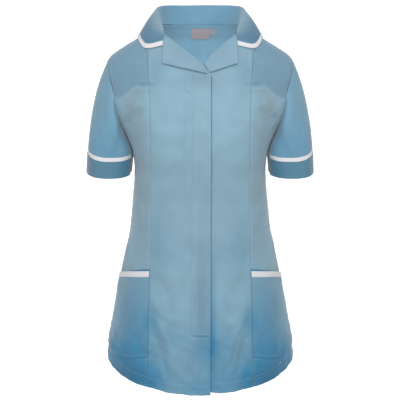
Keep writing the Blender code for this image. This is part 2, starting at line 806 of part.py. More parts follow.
def build_neck_inside():
    """The tape and the bare labels, inside the back at the neck."""
    inner_face = -(WALL + INSIDE_GAP)

    def patch(name, start, end, top, depth, columns, finish, lift):
        rows = rows_between(top, top - depth)

        def turns(height):
            places = [mix(start, end, c / columns) for c in range(columns + 1)]
            return [turn_at(BACK, height, across) for across in places]

        sheet(name, rows, turns, BACK, lambda turn, height: lift, TRIM_WALL, finish)

    patch("neck_tape", -TAPE_HALF, TAPE_HALF, TAPE_TOP, TAPE_DEPTH, 16, sky_deep, inner_face)
    patch("neck_label", -LABEL_HALF, LABEL_HALF, LABEL_TOP, LABEL_DEPTH, 4, label_grey, inner_face)
    patch("size_tab", *TAB_EDGES, LABEL_TOP, TAB_DEPTH, 2, label_grey, inner_face)


for old in list(bpy.data.objects):
    bpy.data.objects.remove(old, do_unlink=True)

tunic = bpy.data.collections.new("medical_tunic")
bpy.context.scene.collection.children.link(tunic)
sky = material("sky_twill", SKY, 0.85)
sky_deep = material("sky_twill_side", SKY_DEEP, 0.85)
white = material("white_braid", WHITE, 0.8)
label_grey = material("label_satin", LABEL_GREY, 0.6)

build_fronts()
build_back()
build_placket()
build_lapels()
build_pockets()
build_sleeves()
build_collar()
build_neck_inside()
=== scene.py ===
"""A medical tunic as photographed: light blue twill with white edging, filled out as if worn.

Sizes in the tables are in millimetres, as in the part. The front faces -Y and the wearer's right is -X.
"""

import math

import bmesh
import bpy
import numpy as np
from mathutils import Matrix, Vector


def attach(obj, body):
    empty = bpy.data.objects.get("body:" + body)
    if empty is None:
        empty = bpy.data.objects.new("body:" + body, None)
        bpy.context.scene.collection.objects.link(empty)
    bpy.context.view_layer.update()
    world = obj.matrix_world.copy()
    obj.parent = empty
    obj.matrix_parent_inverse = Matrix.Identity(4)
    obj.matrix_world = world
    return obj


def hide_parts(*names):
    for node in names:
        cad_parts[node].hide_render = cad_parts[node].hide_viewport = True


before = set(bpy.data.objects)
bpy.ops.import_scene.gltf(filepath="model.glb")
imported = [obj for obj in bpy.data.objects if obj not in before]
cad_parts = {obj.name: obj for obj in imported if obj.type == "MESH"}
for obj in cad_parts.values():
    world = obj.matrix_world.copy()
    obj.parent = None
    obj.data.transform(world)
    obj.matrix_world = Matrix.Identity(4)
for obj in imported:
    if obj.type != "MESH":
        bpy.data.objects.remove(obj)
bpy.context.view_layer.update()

# The studio
# A white room with no edges, lit softly from the front and a little above, as in the photograph.
# The garment hangs clear of the floor, and the camera looks down on it by 11 degrees.
CAMERA_DISTANCE, CAMERA_DROP, AIM_HEIGHT = 2.0, math.radians(11.0), -0.355
FOCAL_PIXELS, FRAME_PIXELS, SENSOR = 975.6, 400.0, 36.0
ROOM_HALF, ROOM_BACK, ROOM_FLOOR, ROOM_TOP = 7.0, 5.0, -1.15, 3.0


def put_in_scene(name, data):
    piece = bpy.data.objects.new(name, data)
    bpy.context.scene.collection.objects.link(piece)
    return piece


def linear(colour):
    """The linear colour of an sRGB hex value."""
    channels = [int(colour[i:i + 2], 16) / 255.0 for i in (0, 2, 4)]
    return [c / 12.92 if c <= 0.04045 else ((c + 0.055) / 1.055) ** 2.4 for c in channels] + [1.0]


def add_node(tree, kind, settings=None, out=0, into=None, **inputs):
    """A node with its settings, input values and links. It gives the output named, which may lead on."""
    node = tree.nodes.new(kind)
    for key, value in (settings or {}).items():
        setattr(node, key, value)
    for key, value in inputs.items():
        socket = node.inputs[int(key[1:]) if key[1:].isdigit() else key]
        if isinstance(value, bpy.types.NodeSocket):
            tree.links.new(value, socket)
        else:
            socket.default_value = value
    if into is not None:
        tree.links.new(node.outputs[out], into)
    return node.outputs[out]


def new_finish(name, roughness, sheen=0.0, specular=0.5):
    """A matt finish that is no metal, with its nodes and its shader."""
    finish = bpy.data.materials.new(name)
    finish.use_nodes = True
    shader = finish.node_tree.nodes["Principled BSDF"]
    numbers = {"Roughness": roughness, "Metallic": 0.0, "IOR": 1.5, "Specular IOR Level": specular}
    for socket, number in {**numbers, "Sheen Weight": sheen, "Sheen Roughness": 0.5}.items():
        shader.inputs[socket].default_value = number
    return finish, finish.node_tree, shader


camera_data = bpy.data.cameras.new("camera")
camera_data.sensor_width = SENSOR
camera_data.lens = SENSOR * FOCAL_PIXELS / FRAME_PIXELS
camera_data.shift_x = -0.25 / FRAME_PIXELS
camera_data.shift_y = 0.5 / FRAME_PIXELS
camera_data.dof.use_dof = False
camera = put_in_scene("camera", camera_data)
camera.location = (
    0.0,
    -CAMERA_DISTANCE * math.cos(CAMERA_DROP),
    AIM_HEIGHT + CAMERA_DISTANCE * math.sin(CAMERA_DROP),
)
camera.rotation_euler = (0.5 * math.pi - CAMERA_DROP, 0.0, 0.0)
bpy.context.scene.camera = camera
bpy.context.scene.view_settings.view_transform = "Standard"

for name, place, aim, size, watts in (
    ("chest_light", (0.0, -1.45, 0.80), (0.0, 0.0, -0.18), (1.0, 0.6), 12.2),
    ("back_light", (0.0, 1.60, 0.35), (0.0, 0.0, -0.10), (1.0, 0.6), 9.0),
    ("neck_light", (0.0, -0.045, -0.17), (0.0, 0.07, -0.03), (0.16, 0.04), 0.16),
    ("front_light", (0.0, -2.70, 0.42), (0.0, 0.0, -0.30), (0.9, 0.5), 28.5),
):
    lamp = bpy.data.lights.new(name, "AREA")
    lamp.shape = "RECTANGLE"
    lamp.size, lamp.size_y = size
    lamp.energy = watts
    light = put_in_scene(name, lamp)
    light.location = place
    light.rotation_euler = (Vector(aim) - Vector(place)).to_track_quat("-Z", "Y").to_euler()

world = bpy.data.worlds.new("studio")
world.use_nodes = True
world.node_tree.nodes["Background"].inputs["Color"].default_value = linear("ffffff")
world.node_tree.nodes["Background"].inputs["Strength"].default_value = 0.52
bpy.context.scene.world = world

room_corners = [
    (-ROOM_HALF, -ROOM_HALF, ROOM_FLOOR), (ROOM_HALF, -ROOM_HALF, ROOM_FLOOR),
    (ROOM_HALF, ROOM_BACK, ROOM_FLOOR), (-ROOM_HALF, ROOM_BACK, ROOM_FLOOR),
    (ROOM_HALF, ROOM_BACK, ROOM_TOP), (-ROOM_HALF, ROOM_BACK, ROOM_TOP),
]
room_mesh = bpy.data.meshes.new("room")
room_mesh.from_pydata(room_corners, [], [(0, 1, 2, 3), (3, 2, 4, 5)])
# Matt white wall paint that glows a little, dimmer under the garment than behind it
room_paint, tree, shader = new_finish("white_room", 1.0)
shader.inputs["Base Color"].default_value = linear("959595")
shader.inputs["Emission Color"].default_value = linear("ffffff")
place = add_node(tree, "ShaderNodeNewGeometry", out="Position")
away = add_node(tree, "ShaderNodeSeparateXYZ", out="Y", i0=place)
glow = shader.inputs["Emission Strength"]
add_node(tree, "ShaderNodeMapRange", into=glow, i0=away, i1=-0.3, i2=0.8, i3=0.2, i4=1.0)
room_mesh.materials.append(room_paint)
room = put_in_scene("room", room_mesh)

# The body form
# All the panels are cut to one filled-out figure, given by its half width, its depths and how full its
# curves are at each level. Main folds and creases are soft ridges and troughs placed on it.
MM = 0.001
FRONT, BACK = -1, 1
RIGHT, LEFT = -1, 1
RIGHT_SIDE, LEFT_SIDE = -2, 2
FACE_WORD = {FRONT: "front", BACK: "back"}
HANDS = {"right": RIGHT, "left": LEFT}


def table(columns, rows):
    """Rows of numbers whose columns are read by name."""
    return np.array(rows, dtype=[(name, float) for name in columns.split()])


def by_view(groups):
    """Rows given view by view, as one list with the view in front of each."""
    return [(view, *row) for view, rows in groups.items() for row in rows]


BODY = table("height half_width front back front_full back_full", [
    (0, 75, 52, 60, 0.46, 0.50), (-9, 92, 57, 65, 0.46, 0.50), (-18, 109, 62, 71, 0.46, 0.50),
    (-25, 121, 66, 77, 0.46, 0.50), (-32, 133, 70, 82, 0.46, 0.50), (-44, 153, 77, 87, 0.46, 0.50),
    (-56, 171, 84, 91, 0.47, 0.51), (-64, 180, 88, 94, 0.48, 0.52), (-72, 185, 92, 96, 0.50, 0.53),
    (-105, 188.5, 104, 102, 0.53, 0.55), (-147, 184, 118, 106, 0.55, 0.57),
    (-180, 172, 127, 107, 0.56, 0.57), (-203, 158, 130, 105, 0.58, 0.57), (-219, 149, 130, 104, 0.60, 0.57),
    (-236, 142, 129, 101, 0.61, 0.57), (-258, 136.5, 126, 97, 0.61, 0.57), (-285, 134, 120, 93, 0.60, 0.57),
    (-310, 134, 114, 89, 0.60, 0.57), (-345, 137, 107, 86, 0.58, 0.57), (-400, 142.5, 104, 87, 0.56, 0.57),
    (-450, 151, 109, 95, 0.55, 0.57), (-500, 162, 118, 106, 0.55, 0.57), (-550, 173, 127, 115, 0.56, 0.57),
    (-600, 182.5, 134, 121, 0.56, 0.57), (-650, 192, 138, 124, 0.56, 0.57),
    (-681, 195.5, 140, 126, 0.56, 0.57),
])
SEAM_GAP = 0.3
ARMHOLE_TOP, ARMHOLE_FOOT, HEM = -72.0, -219.0, -681.0
HEM_DIP, HEM_DIP_POWER, HEM_DIP_START, HEM_DIP_SOFT = 39.5, 1.4, -470.0, 0.02
ARMHOLE_STEPS = 80
ARMHOLE = table("height front back", [
    (-72, 0, 0), (-74, 8, 8.5), (-80, 16, 16), (-90, 24.5, 25), (-100, 31, 31.5), (-112, 37.5, 38),
    (-125, 43, 44), (-140, 47, 49.5), (-152, 48, 52.5), (-165, 47.5, 54), (-178, 44, 52.5),
    (-190, 37, 48.5), (-200, 28, 43), (-209, 18, 33), (-216, 8, 18), (-219, 0, 0),
])
FOLDS = table("face top_across top foot_across foot width rise", by_view({
    FRONT: [
        (-52, -500, -66, -722, 20, 2.6), (-84, -470, -88, -722, 15, -3.0), (56, -520, 68, -722, 22, 2.4),
        (86, -490, 90, -722, 15, -2.8), (-124, -560, -136, -700, 22, 3.0), (126, -540, 138, -700, 22, 2.8),
    ],
    BACK: [
        (-112, -520, -128, -690, 26, 4.5), (-60, -480, -72, -690, 24, -4.0), (-8, -540, -14, -690, 28, 4.0),
        (58, -500, 66, -690, 24, -4.5), (110, -530, 124, -690, 26, 4.0),
    ],
}))
# Seen from a face (across, height) or from a side (depth, height); bend is the bow at its middle
CREASE_COLUMNS = "view start_across start end_across end bend width rise"
CREASES = table(CREASE_COLUMNS, by_view({
    FRONT: [
        (-124, -116, -84, -113, 1, 3.4, -3.7), (-128, -124, -82, -120, 2, 5.0, 2.4),
        (125, -115, 85, -113, -1, 3.2, -3.4), (127, -123, 84, -121, -2, 5.0, 2.4),
        (-36, -120, -14, -131, -1, 3.4, -3.2), (-10, -112, 12, -122, 2, 3.0, -2.8),
        (-31, -91, 13, -110, -2, 3.6, -2.6), (-26, -100, 12, -119, -2, 3.8, 1.8),
        (23, -126, 42, -133, 1, 3.2, -2.5), (24, -112, 40, -116, 1, 4.0, 1.7),
        (-92, -184, -20, -189, 5, 13, -2.3), (24, -188, 90, -185, -5, 13, -2.1),
        (-88, -234, -22, -238, 6, 15, -1.8), (24, -236, 86, -232, -6, 15, -1.8),
        (-152, -196, -112, -152, -4, 8, -3.5), (-150, -176, -118, -136, -4, 8, 2.6),
        (150, -190, 114, -150, 4, 8, -3.2), (150, -172, 120, -134, 4, 8, 2.5),
        (-118, -270, -112, -400, 3, 6, -2.5), (118, -262, 113, -390, -3, 6, -2.2),
        (-84, -432, -6, -440, 8, 18, -2.6), (26, -438, 84, -430, -6, 17, -2.5),
        (-99, -518, -27, -571, -21, 9, 2.6), (100, -512, 36, -588, 19, 9, 2.4),
        (-96, -482, -56, -584, 12, 13, -2.9), (96, -478, 60, -580, -12, 13, -2.6),
        (-98, -556, -42, -690, 8, 6, 2.6), (-100, -584, -62, -704, 5, 7, -3.5),
        (98, -552, 50, -676, -8, 6, 2.5), (101, -590, 70, -700, -5, 7, -3.2),
        (-104, -678, -94, -706, 0, 4, 4.2), (105, -676, 96, -704, 0, 4, 3.7),
        (-30, -612, -24, -700, 2, 9, -2.2), (-66, -596, -50, -668, 4, 5, -1.9),
        (-12, -636, -6, -704, 1, 5, 1.8), (62, -606, 54, -668, -3, 5, 1.8),
        (34, -640, 28, -706, -1, 4, -1.6), (44, -600, 40, -690, -2, 10, -1.6),
        (-176, -640, -150, -676, 3, 6, -2.3), (176, -644, 152, -672, -3, 6, -2.0),
        (-144, -600, -106, -662, 6, 8, -3.1), (146, -596, 108, -656, -6, 8, -2.9),
    ],
    BACK: [
        (-96, -96, -84, -300, 10, 14, -3.0), (94, -104, 86, -288, -9, 14, -2.9),
        (-118, -120, -104, -250, 6, 10, 2.4), (116, -114, 106, -262, -6, 10, 2.2),
        (-5, -44, -3, -104, 1, 3.6, 2.1), (3, -48, 5, -92, 1, 3.6, -2.1),
        (-88, -318, -18, -334, 5, 10, -2.8), (16, -328, 92, -312, 5, 10, -2.5),
        (-96, -352, -30, -362, -4, 12, 2.2), (34, -360, 88, -346, -4, 12, 2.0),
        (-104, -420, -70, -560, 8, 10, 2.5), (100, -412, 74, -548, -8, 10, 2.4),
        (-140, -560, -118, -680, 4, 8, -3.9), (142, -566, 122, -680, -4, 8, -3.6),
    ],
    RIGHT_SIDE: [
        (-30, -226, -12, -322, 4, 9, -3.9), (22, -230, 8, -300, -3, 8, -3.0),
        (-16, -420, -30, -560, 6, 12, 2.8),
    ],
    LEFT_SIDE: [
        (-26, -228, -10, -312, 4, 9, -3.6), (24, -232, 10, -306, -3, 8, -3.0),
        (-14, -410, -28, -548, 6, 12, 2.5),
    ],
}))


def mix(start, end, share):
    return start + (end - start) * share


def ease(share):
    share = np.clip(share, 0.0, 1.0)
    return share * share * (3.0 - 2.0 * share)


def bezier(a, b, c, d, t):
    s = 1.0 - t
    return a * (s * s * s) + b * (3.0 * s * s * t) + c * (3.0 * s * t * t) + d * (t * t * t)


def mound(away, down=0.0):
    """A soft rise, 1 at its middle and gone about two widths away from it."""
    return np.exp(-(away * away + down * down))


def read(rows, column, place):
    """A column of a table at places along its first column, on a smooth curve with no overshoot."""
    keys = rows[rows.dtype.names[0]]
    values = rows[column]
    if keys[0] > keys[-1]:
        keys, values = keys[::-1], values[::-1]
    place = np.clip(place, keys[0], keys[-1])
    steps = np.diff(values) / np.diff(keys)
    slopes = np.concatenate([steps[:1], np.zeros(len(steps) - 1), steps[-1:]])
    turning = steps[:-1] * steps[1:] > 0.0
    total = np.where(turning, steps[:-1] + steps[1:], 1.0)
    slopes[1:-1] = np.where(turning, 2.0 * steps[:-1] * steps[1:] / total, 0.0)
    index = np.clip(np.searchsorted(keys, place) - 1, 0, len(keys) - 2)
    width = keys[index + 1] - keys[index]
    start, end = values[index], values[index + 1]
    first, second = start + slopes[index] * width / 3.0, end - slopes[index + 1] * width / 3.0
    return bezier(start, first, second, end, (place - keys[index]) / width)


def unit(vectors):
    return vectors / np.maximum(np.linalg.norm(vectors, axis=-1, keepdims=True), 1e-9)


def form_point(face, turn, height):
    """The bare form: turn is -1 at the right side, 0 at the centre and 1 at the left side."""
    turn, height = np.broadcast_arrays(np.asarray(turn, float), np.asarray(height, float))
    depth = read(BODY, FACE_WORD[face], height)
    full = read(BODY, FACE_WORD[face] + "_full", height)
    across = read(BODY, "half_width", height) * bezier(0.0, full, 1.0, 1.0, np.abs(turn))
    proud = bezier(1.0, 1.0, full, 0.0, np.abs(turn))
    forward = -face * proud
    dip = HEM_DIP * ease((HEM_DIP_START - height) / (HEM_DIP_START - HEM))
    dip = dip * (0.5 * (forward + np.sqrt(forward * forward + HEM_DIP_SOFT))) ** HEM_DIP_POWER
    side = np.where(turn < 0.0, -1.0, 1.0)
    return np.stack([side * across, face * (depth * proud + 0.5 * SEAM_GAP), height - dip], -1)


def form_normal(face, turn, height):
    turn, height = np.broadcast_arrays(np.asarray(turn, float), np.asarray(height, float))
    step = np.where(np.abs(turn) < 0.99, 0.004, -0.004 * np.sign(turn))
    rise = np.where(height < -3.0, 1.5, -1.5)
    here = form_point(face, turn, height)
    across = (form_point(face, turn + step, height) - here) / step[..., None]
    up = (form_point(face, turn, height + rise) - here) / rise[..., None]
    return unit(np.cross(across, up) * -face)


def crease_rise(creases, point, normal):
    """How far the listed creases lift cloth at points that face the way given."""
    rise = np.zeros(point.shape[:-1])
    for crease in creases:
        plane = 0 if abs(crease["view"]) == 1 else 1
        facing = ease((normal[..., 1 - plane] * np.sign(crease["view"]) - 0.15) / 0.35)
        start = np.array([crease["start_across"], crease["start"]])
        run = np.array([crease["end_across"], crease["end"]]) - start
        length = np.hypot(*run)
        from_start = np.stack([point[..., plane], point[..., 2]], -1) - start
        share = from_start @ run / length**2
        bow = crease["bend"] * np.sin(math.pi * np.clip(share, 0.0, 1.0))
        away = (from_start @ np.array([-run[1], run[0]]) / length - bow) / crease["width"]
        fade = ease(share / 0.25) * ease((1.0 - share) / 0.25)
        rise += crease["rise"] * facing * fade * mound(away)
    return rise


def sway(point):
    """The slight unevenness of hanging cloth, rumpled towards the hem, under the arms and the lapels."""
    x, y, z = point[..., 0], point[..., 1], point[..., 2]
    slow = np.sin(0.034 * x + 0.021 * z + 0.4) * np.sin(0.017 * z - 0.026 * y + 1.1)
    quick = np.sin(0.071 * x - 0.033 * z + 2.0) * np.sin(0.052 * z + 0.061 * y)
    restless = ease((-545.0 - z) / 100.0) + 0.6 * mound((np.abs(x) - 134.0) / 22.0, (z + 178.0) / 48.0)
    restless = restless + 0.45 * mound(x / 62.0, (z + 122.0) / 22.0)
    bow = 9.0 * np.sin(0.043 * z + 0.05 * y + 0.9)
    rumple = np.sin(0.21 * (x + bow) + 0.09 * z) * np.sin(0.15 * z - 0.07 * x + 1.3)
    pucker = np.sin(0.36 * (x - 0.6 * bow) - 0.2 * z + 0.5) * np.sin(0.28 * z + 0.12 * x)
    return 0.45 * slow + 0.22 * quick + restless * (0.95 * rumple + 0.42 * pucker)


def cloth_point(face, turn, height, lift=0.0):
    """Points at a distance outside the form, with its folds and creases."""
    point = form_point(face, turn, height)
    normal = form_normal(face, turn, height)
    height = np.broadcast_to(height, point.shape[:-1])
    rise = lift + sway(point) + crease_rise(CREASES, point, normal)
    for fold in FOLDS[FOLDS["face"] == face]:
        share = (fold["top"] - height) / (fold["top"] - fold["foot"])
        away = (point[..., 0] - mix(fold["top_across"], fold["foot_across"], share)) / fold["width"]
        rise = rise + fold["rise"] * ease(share * 1.4) * mound(away)
    return point + normal * rise[..., None]


def search(short, shape):
    """The shares from 0 to 1 at which a test stops saying that they fall short, found by halving."""
    low, high = np.zeros(shape), np.ones(shape)
    for _ in range(30):
        middle = 0.5 * (low + high)
        under = short(middle)
        low, high = np.where(under, middle, low), np.where(under, high, middle)
    return 0.5 * (low + high)


def turn_at(face, height, across):
    """The turn at which the form lies a distance from the centre line."""
    share = np.abs(across) / read(BODY, "half_width", height)
    full = read(BODY, FACE_WORD[face] + "_full", height)
    return np.sign(across) * search(lambda turn: bezier(0.0, full, 1.0, 1.0, turn) < share, share.shape)


def armhole_level(step):
    """The height of a step round the armhole, from the shoulder to the underarm."""
    return mix(ARMHOLE_TOP, ARMHOLE_FOOT, 0.5 * (1.0 - np.cos(math.pi * step / ARMHOLE_STEPS)))


def edge_turn(face, height):
    """The turn of the armhole at a height, or 1 where the edge is a shoulder or a side seam."""
    share = read(ARMHOLE, FACE_WORD[face], height) / read(BODY, FACE_WORD[face], height)
    full = read(BODY, FACE_WORD[face] + "_full", height)
    found = search(lambda turn: bezier(1.0, 1.0, full, 0.0, turn) > share, share.shape)
    return np.where((height < ARMHOLE_TOP - 1e-6) & (height > ARMHOLE_FOOT + 1e-6), found, 1.0)


# The twill
# Light blue polyester and cotton twill. Beside the front seams and under the arms it fades to a greyer blue,
# partly its own tone and partly painted shade. Painted shade also makes it deeper low down, where the cloth
# turns away from the light.
GRAIN = {"uv_map": "grain"}
BANDS = {"wave_type": "BANDS", "bands_direction": "X"}
COLOURS = {"data_type": "RGBA"}
# A wave texture's bands lie this far apart, in metres, at a scale of 1
WAVE_SPAN = 0.314
# The real twill has about 30 ribs to the centimetre, too fine to show, so a rib is drawn 2.6 mm apart
TWILL_PITCH = 2.6
TWILL_SLANT = math.radians(62)
# The darkest painted shade, a blue for the lowest corners
DEEPEST_PAINTED_SHADE = "2f5f80"


def twill(name, base, grey, deep):
    """A matt twill with a soft sheen. The mesh says how grey it is, and how much deeper blue and even painted
    shade it takes, at each point.
    """
    finish, tree, shader = new_finish(name, 0.82, 0.28, 0.25)
    place = add_node(tree, "ShaderNodeUVMap", GRAIN)
    turned = add_node(tree, "ShaderNodeMapping", Vector=place, Rotation=(0.0, 0.0, TWILL_SLANT))
    ribs = add_node(
        tree, "ShaderNodeTexWave", BANDS, "Fac", Vector=turned,
        Scale=WAVE_SPAN / (TWILL_PITCH * MM), Distortion=0.6, Detail=1.0,
    )
    yarns = add_node(tree, "ShaderNodeTexNoise", out="Fac", Vector=place, Scale=420.0, Detail=2.0)
    clouds = add_node(tree, "ShaderNodeTexNoise", out="Fac", Vector=place, Scale=22.0, Detail=3.5)
    texture = add_node(tree, "ShaderNodeMix", i0=0.45, i2=ribs, i3=yarns)
    texture = add_node(tree, "ShaderNodeMix", i0=0.52, i2=texture, i3=clouds)
    grey_shares, deep_shade_shares, even_shade_shares = (
        add_node(tree, "ShaderNodeAttribute", {"attribute_name": label}, "Fac")
        for label in ("grey", "deep", "even_painted_shade")
    )
    # Painted shade: a deep share above 1 goes on to the deepest blue, and the even painted shade takes light
    # away evenly
    beyond = add_node(tree, "ShaderNodeMath", {"operation": "SUBTRACT"}, i0=deep_shade_shares, i1=1.0)
    colour = linear(base)
    for share, tone in ((grey_shares, grey), (deep_shade_shares, deep), (beyond, DEEPEST_PAINTED_SHADE)):
        colour = add_node(tree, "ShaderNodeMix", COLOURS, 2, i0=share, i6=colour, i7=linear(tone))
    light = add_node(tree, "ShaderNodeMapRange", i0=texture, i1=0.3, i2=0.7, i3=0.88, i4=1.12)
    kept = add_node(tree, "ShaderNodeMath", {"operation": "SUBTRACT"}, i0=1.0, i1=even_shade_shares)
    level = add_node(tree, "ShaderNodeMath", {"operation": "MULTIPLY"}, i0=light, i1=kept)
    skin, grain = shader.inputs["Base Color"], shader.inputs["Normal"]
    add_node(tree, "ShaderNodeVectorMath", {"operation": "SCALE"}, into=skin, i0=colour, Scale=level)
    add_node(tree, "ShaderNodeBump", into=grain, Strength=0.35, Distance=0.0005, Height=texture)
    return finish


# The twill's own blue, its greyer tone and the deeper blue of its painted shade
sky = twill("sky_blue_twill", "80a2b3", "7d929e", "397da1")


def both_sides(rows):
    """Rows placed on the left and mirrored on the right, which comes first."""
    return [(side * row[0], *row[1:]) for row in rows for side in (RIGHT, LEFT)]


# Greyer and deeper places in the cloth, seen from a face, each a soft spot: painted shade low down, at the
# sides and on the belly, and painted shadow beside the lap's edge and the seams and under the collar and
# lapels. The greyer places are partly the cloth's own tone.
SPOTS = table("view across height wide tall grey deep", by_view({
    FRONT: both_sides([
        (118, -300, 16, 170, 0.55, 0.0), (132, -155, 18, 34, 0.70, 0.0), (150, -540, 20, 60, 0.60, 0.0),
        (128, -590, 34, 80, 0.0, 0.40), (162, -706, 52, 68, 0.0, 1.45), (86, -90, 17, 28, 0.60, 0.22),
    ]) + [
        (-80, -690, 46, 90, 0.0, 0.42), (80, -690, 46, 90, 0.0, 0.46), (0, -690, 50, 70, 0.0, 0.28),
        (3, -525, 14, 85, 0.85, 0.24), (6, -428, 60, 26, 0.22, 0.05), (-5, -708, 36, 18, 0.0, 0.34),
        (30, -630, 30, 34, 0.0, 0.20), (-84, -432, 22, 55, 0.30, 0.24), (80, -436, 26, 55, 0.30, 0.24),
        (0, -565, 105, 70, 0.0, 0.12), (25, -575, 7, 110, 0.1, 0.42), (-94, -577, 13, 24, 0.0, 0.42),
        (-54, -450, 24, 20, 0.1, 0.16), (42, -450, 26, 20, 0.1, 0.16), (-54, -609, 26, 18, 0.0, 0.16),
        (48, -615, 24, 24, 0.0, 0.14), (95, -577, 13, 24, 0.0, 0.42), (-112, -700, 36, 32, 0.0, 0.45),
        (112, -700, 36, 32, 0.0, 0.50), (8, -625, 34, 40, 0.10, 0.28), (40, -700, 30, 40, 0.0, 0.25),
        (-4, -104, 48, 18, 0.55, 0.12),
    ],
    BACK: both_sides([(194, -706, 46, 66, 0.0, 0.90)]) + [
        (-90, -620, 70, 80, 0.0, 0.35), (80, -640, 70, 70, 0.0, 0.35),
    ],
}))
# Outside the shaped seams above the chest the cloth takes a greyer, deeper painted shade: where that starts,
# its foot, the foot's fall and its tints
SHOULDER_SHADE_START, SHOULDER_SHADE_FOOT, SHOULDER_SHADE_FALL, SHOULDER_SHADE_DEEP, SHOULDER_SHADE_GREY = 98.0, -118.0, 26.0, 0.32, 0.5
# Heights of a pocket's open edge, which slants down from the shaped seam past its middle to the side, and how
# deep the painted shadow just above it is
MOUTH, MOUTH_SHADOW = (-480.5, -491.0, -506.5), 1.2


def pocket_mouth(across):
    return np.interp(np.abs(across), [101.5, 138.0, 160.0], MOUTH)


def spot_values(face, point, grey=0.0, deep=0.0):
    """The greyer tone and the deeper blue painted shade of the cloth at points, for the twill."""
    out, height = np.abs(point[..., 0]), point[..., 2]
    values = {"grey": np.full(out.shape, grey), "deep": np.full(out.shape, deep)}
    for spot in SPOTS[SPOTS["view"] == face]:
        beside = (point[..., 0] - spot["across"]) / spot["wide"]
        near = mound(beside, (height - spot["height"]) / spot["tall"])
        for label in values:
            values[label] += spot[label] * near
    if face == FRONT:
        # Painted shade outside the shaped seams above the chest
        foot = SHOULDER_SHADE_FOOT - SHOULDER_SHADE_FALL * ease((out - 118.0) / 45.0)
        shoulder_shade = ease((out - SHOULDER_SHADE_START) / 2.0) * ease((height - foot) / 8.0)
        # A painted shadow on the cloth just above each pocket's mouth
        mouth_shadow = mound((height - pocket_mouth(out) - 1.4) / 2.0) * ease((out - 99.0) / 3.0)
        values["deep"] += SHOULDER_SHADE_DEEP * shoulder_shade + MOUTH_SHADOW * mouth_shadow
        values["grey"] += SHOULDER_SHADE_GREY * shoulder_shade
    return {label: np.clip(value, 0.0, 2.0) for label, value in values.items()}


# The back
# One panel of twill from the neck seam to the hem, with an armhole cut at each side. It is sewn to the
# fronts along the shoulders and down the sides.
NECK_HALF, NECK_LEVEL, NECK_SAG = 75.0, -0.4, -1.3
# The cloth's thickness, the turned hem, a seam's depth and width, and its distance to the stitches
CLOTH, HEM_TURN, SEAM_SINK, SEAM_SOFT, SEAM_STITCH = 1.0, 20.0, 1.3, 1.1, 1.9
SHOULDER_ROWS, SKIRT_ROWS, BACK_COLUMNS = 36, 216, 118
FLY_TOP, FLY_FOOT = -100.0, -579.0


def grid_normals(grid, ring=False):
    """The direction out of each point of a grid of rows, across times down."""
    if ring:
        across = np.roll(grid, -1, 1) - np.roll(grid, 1, 1)
    else:
        across = np.gradient(grid, axis=1)
    return unit(np.cross(across, np.gradient(grid, axis=0)))


def cells(grid):
    """The four corners of each cell of a grid, in turn."""
    return np.stack([grid[:-1, :-1], grid[:-1, 1:], grid[1:, 1:], grid[1:, :-1]], 2)


def travel(points, axis):
    """How far along its row or column each point lies, from the first one."""
    steps = np.diff(points, axis=axis, prepend=np.take(points, [0], axis))
    return np.cumsum(np.linalg.norm(steps, axis=-1), axis)


# The cloth's inside takes more of the deeper blue painted shade than its outside
INSIDE_PAINTED_SHADE = 0.30


def shell(name, node, outer, inner, finish, ring=False, tints=None):
    """A closed thin sheet between two grids of points, with its grain in metres as a UV map."""
    rows, columns = outer.shape[:2]
    count = rows * columns
    index, closed = np.arange(count).reshape(rows, columns), outer
    if ring:
        index, closed = (np.concatenate([grid, grid[:, :1]], 1) for grid in (index, closed))
    runs = [(index[0, 1:], index[0, :-1]), (index[-1, :-1], index[-1, 1:])]
    if not ring:
        runs += [(index[:-1, 0], index[1:, 0]), (index[1:, -1], index[:-1, -1])]
    rims = np.concatenate([np.stack([a, b, b + count, a + count], -1) for a, b in runs])
    skin = cells(index).reshape(-1, 4)
    faces = np.concatenate([skin, skin[:, ::-1] + count, rims])
    across = travel(closed, 1)
    across = across - across[:, across.shape[1] // 2][:, None]
    grain = np.stack([across, -travel(closed, 0)], -1) * MM
    corner = cells(grain).reshape(-1, 4, 2)
    uvs = np.concatenate([corner, corner[:, ::-1], grain[:, :columns].reshape(-1, 2)[rims % count]])
    mesh = bpy.data.meshes.new(name)
    mesh.from_pydata((np.concatenate([outer, inner]).reshape(-1, 3) * MM).tolist(), [], faces.tolist())
    mesh.uv_layers.new(name="grain").data.foreach_set("uv", uvs.ravel().astype(np.float32))
    for label, values in (tints or {}).items():
        values = np.broadcast_to(values, (rows, columns))
        within = np.clip(values + INSIDE_PAINTED_SHADE * (label == "deep"), 0.0, 1.0)
        tint = mesh.attributes.new(label, "FLOAT", "POINT")
        tint.data.foreach_set("value", np.stack([values, within]).ravel().astype(np.float32))
    shape = bmesh.new()
    shape.from_mesh(mesh)
    bmesh.ops.recalc_face_normals(shape, faces=shape.faces)
    shape.to_mesh(mesh)
    shape.free()
    mesh.shade_smooth()
    mesh.set_sharp_from_angle(angle=math.radians(50))
    mesh.materials.append(finish)
    piece = put_in_scene(name, mesh)
    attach(piece, "root")
    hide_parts(node)
    return piece


def cloth_shell(name, node, face, turn, height, rise, wall, finish, tints=None):
    """A shell that lies on the form at a rise with a wall below it, and the grids of its two sides."""
    outer = cloth_point(face, turn, height, rise)
    inner = cloth_point(face, turn, height, rise - wall)
    return shell(name, node, outer, inner, finish, tints=tints), outer, inner


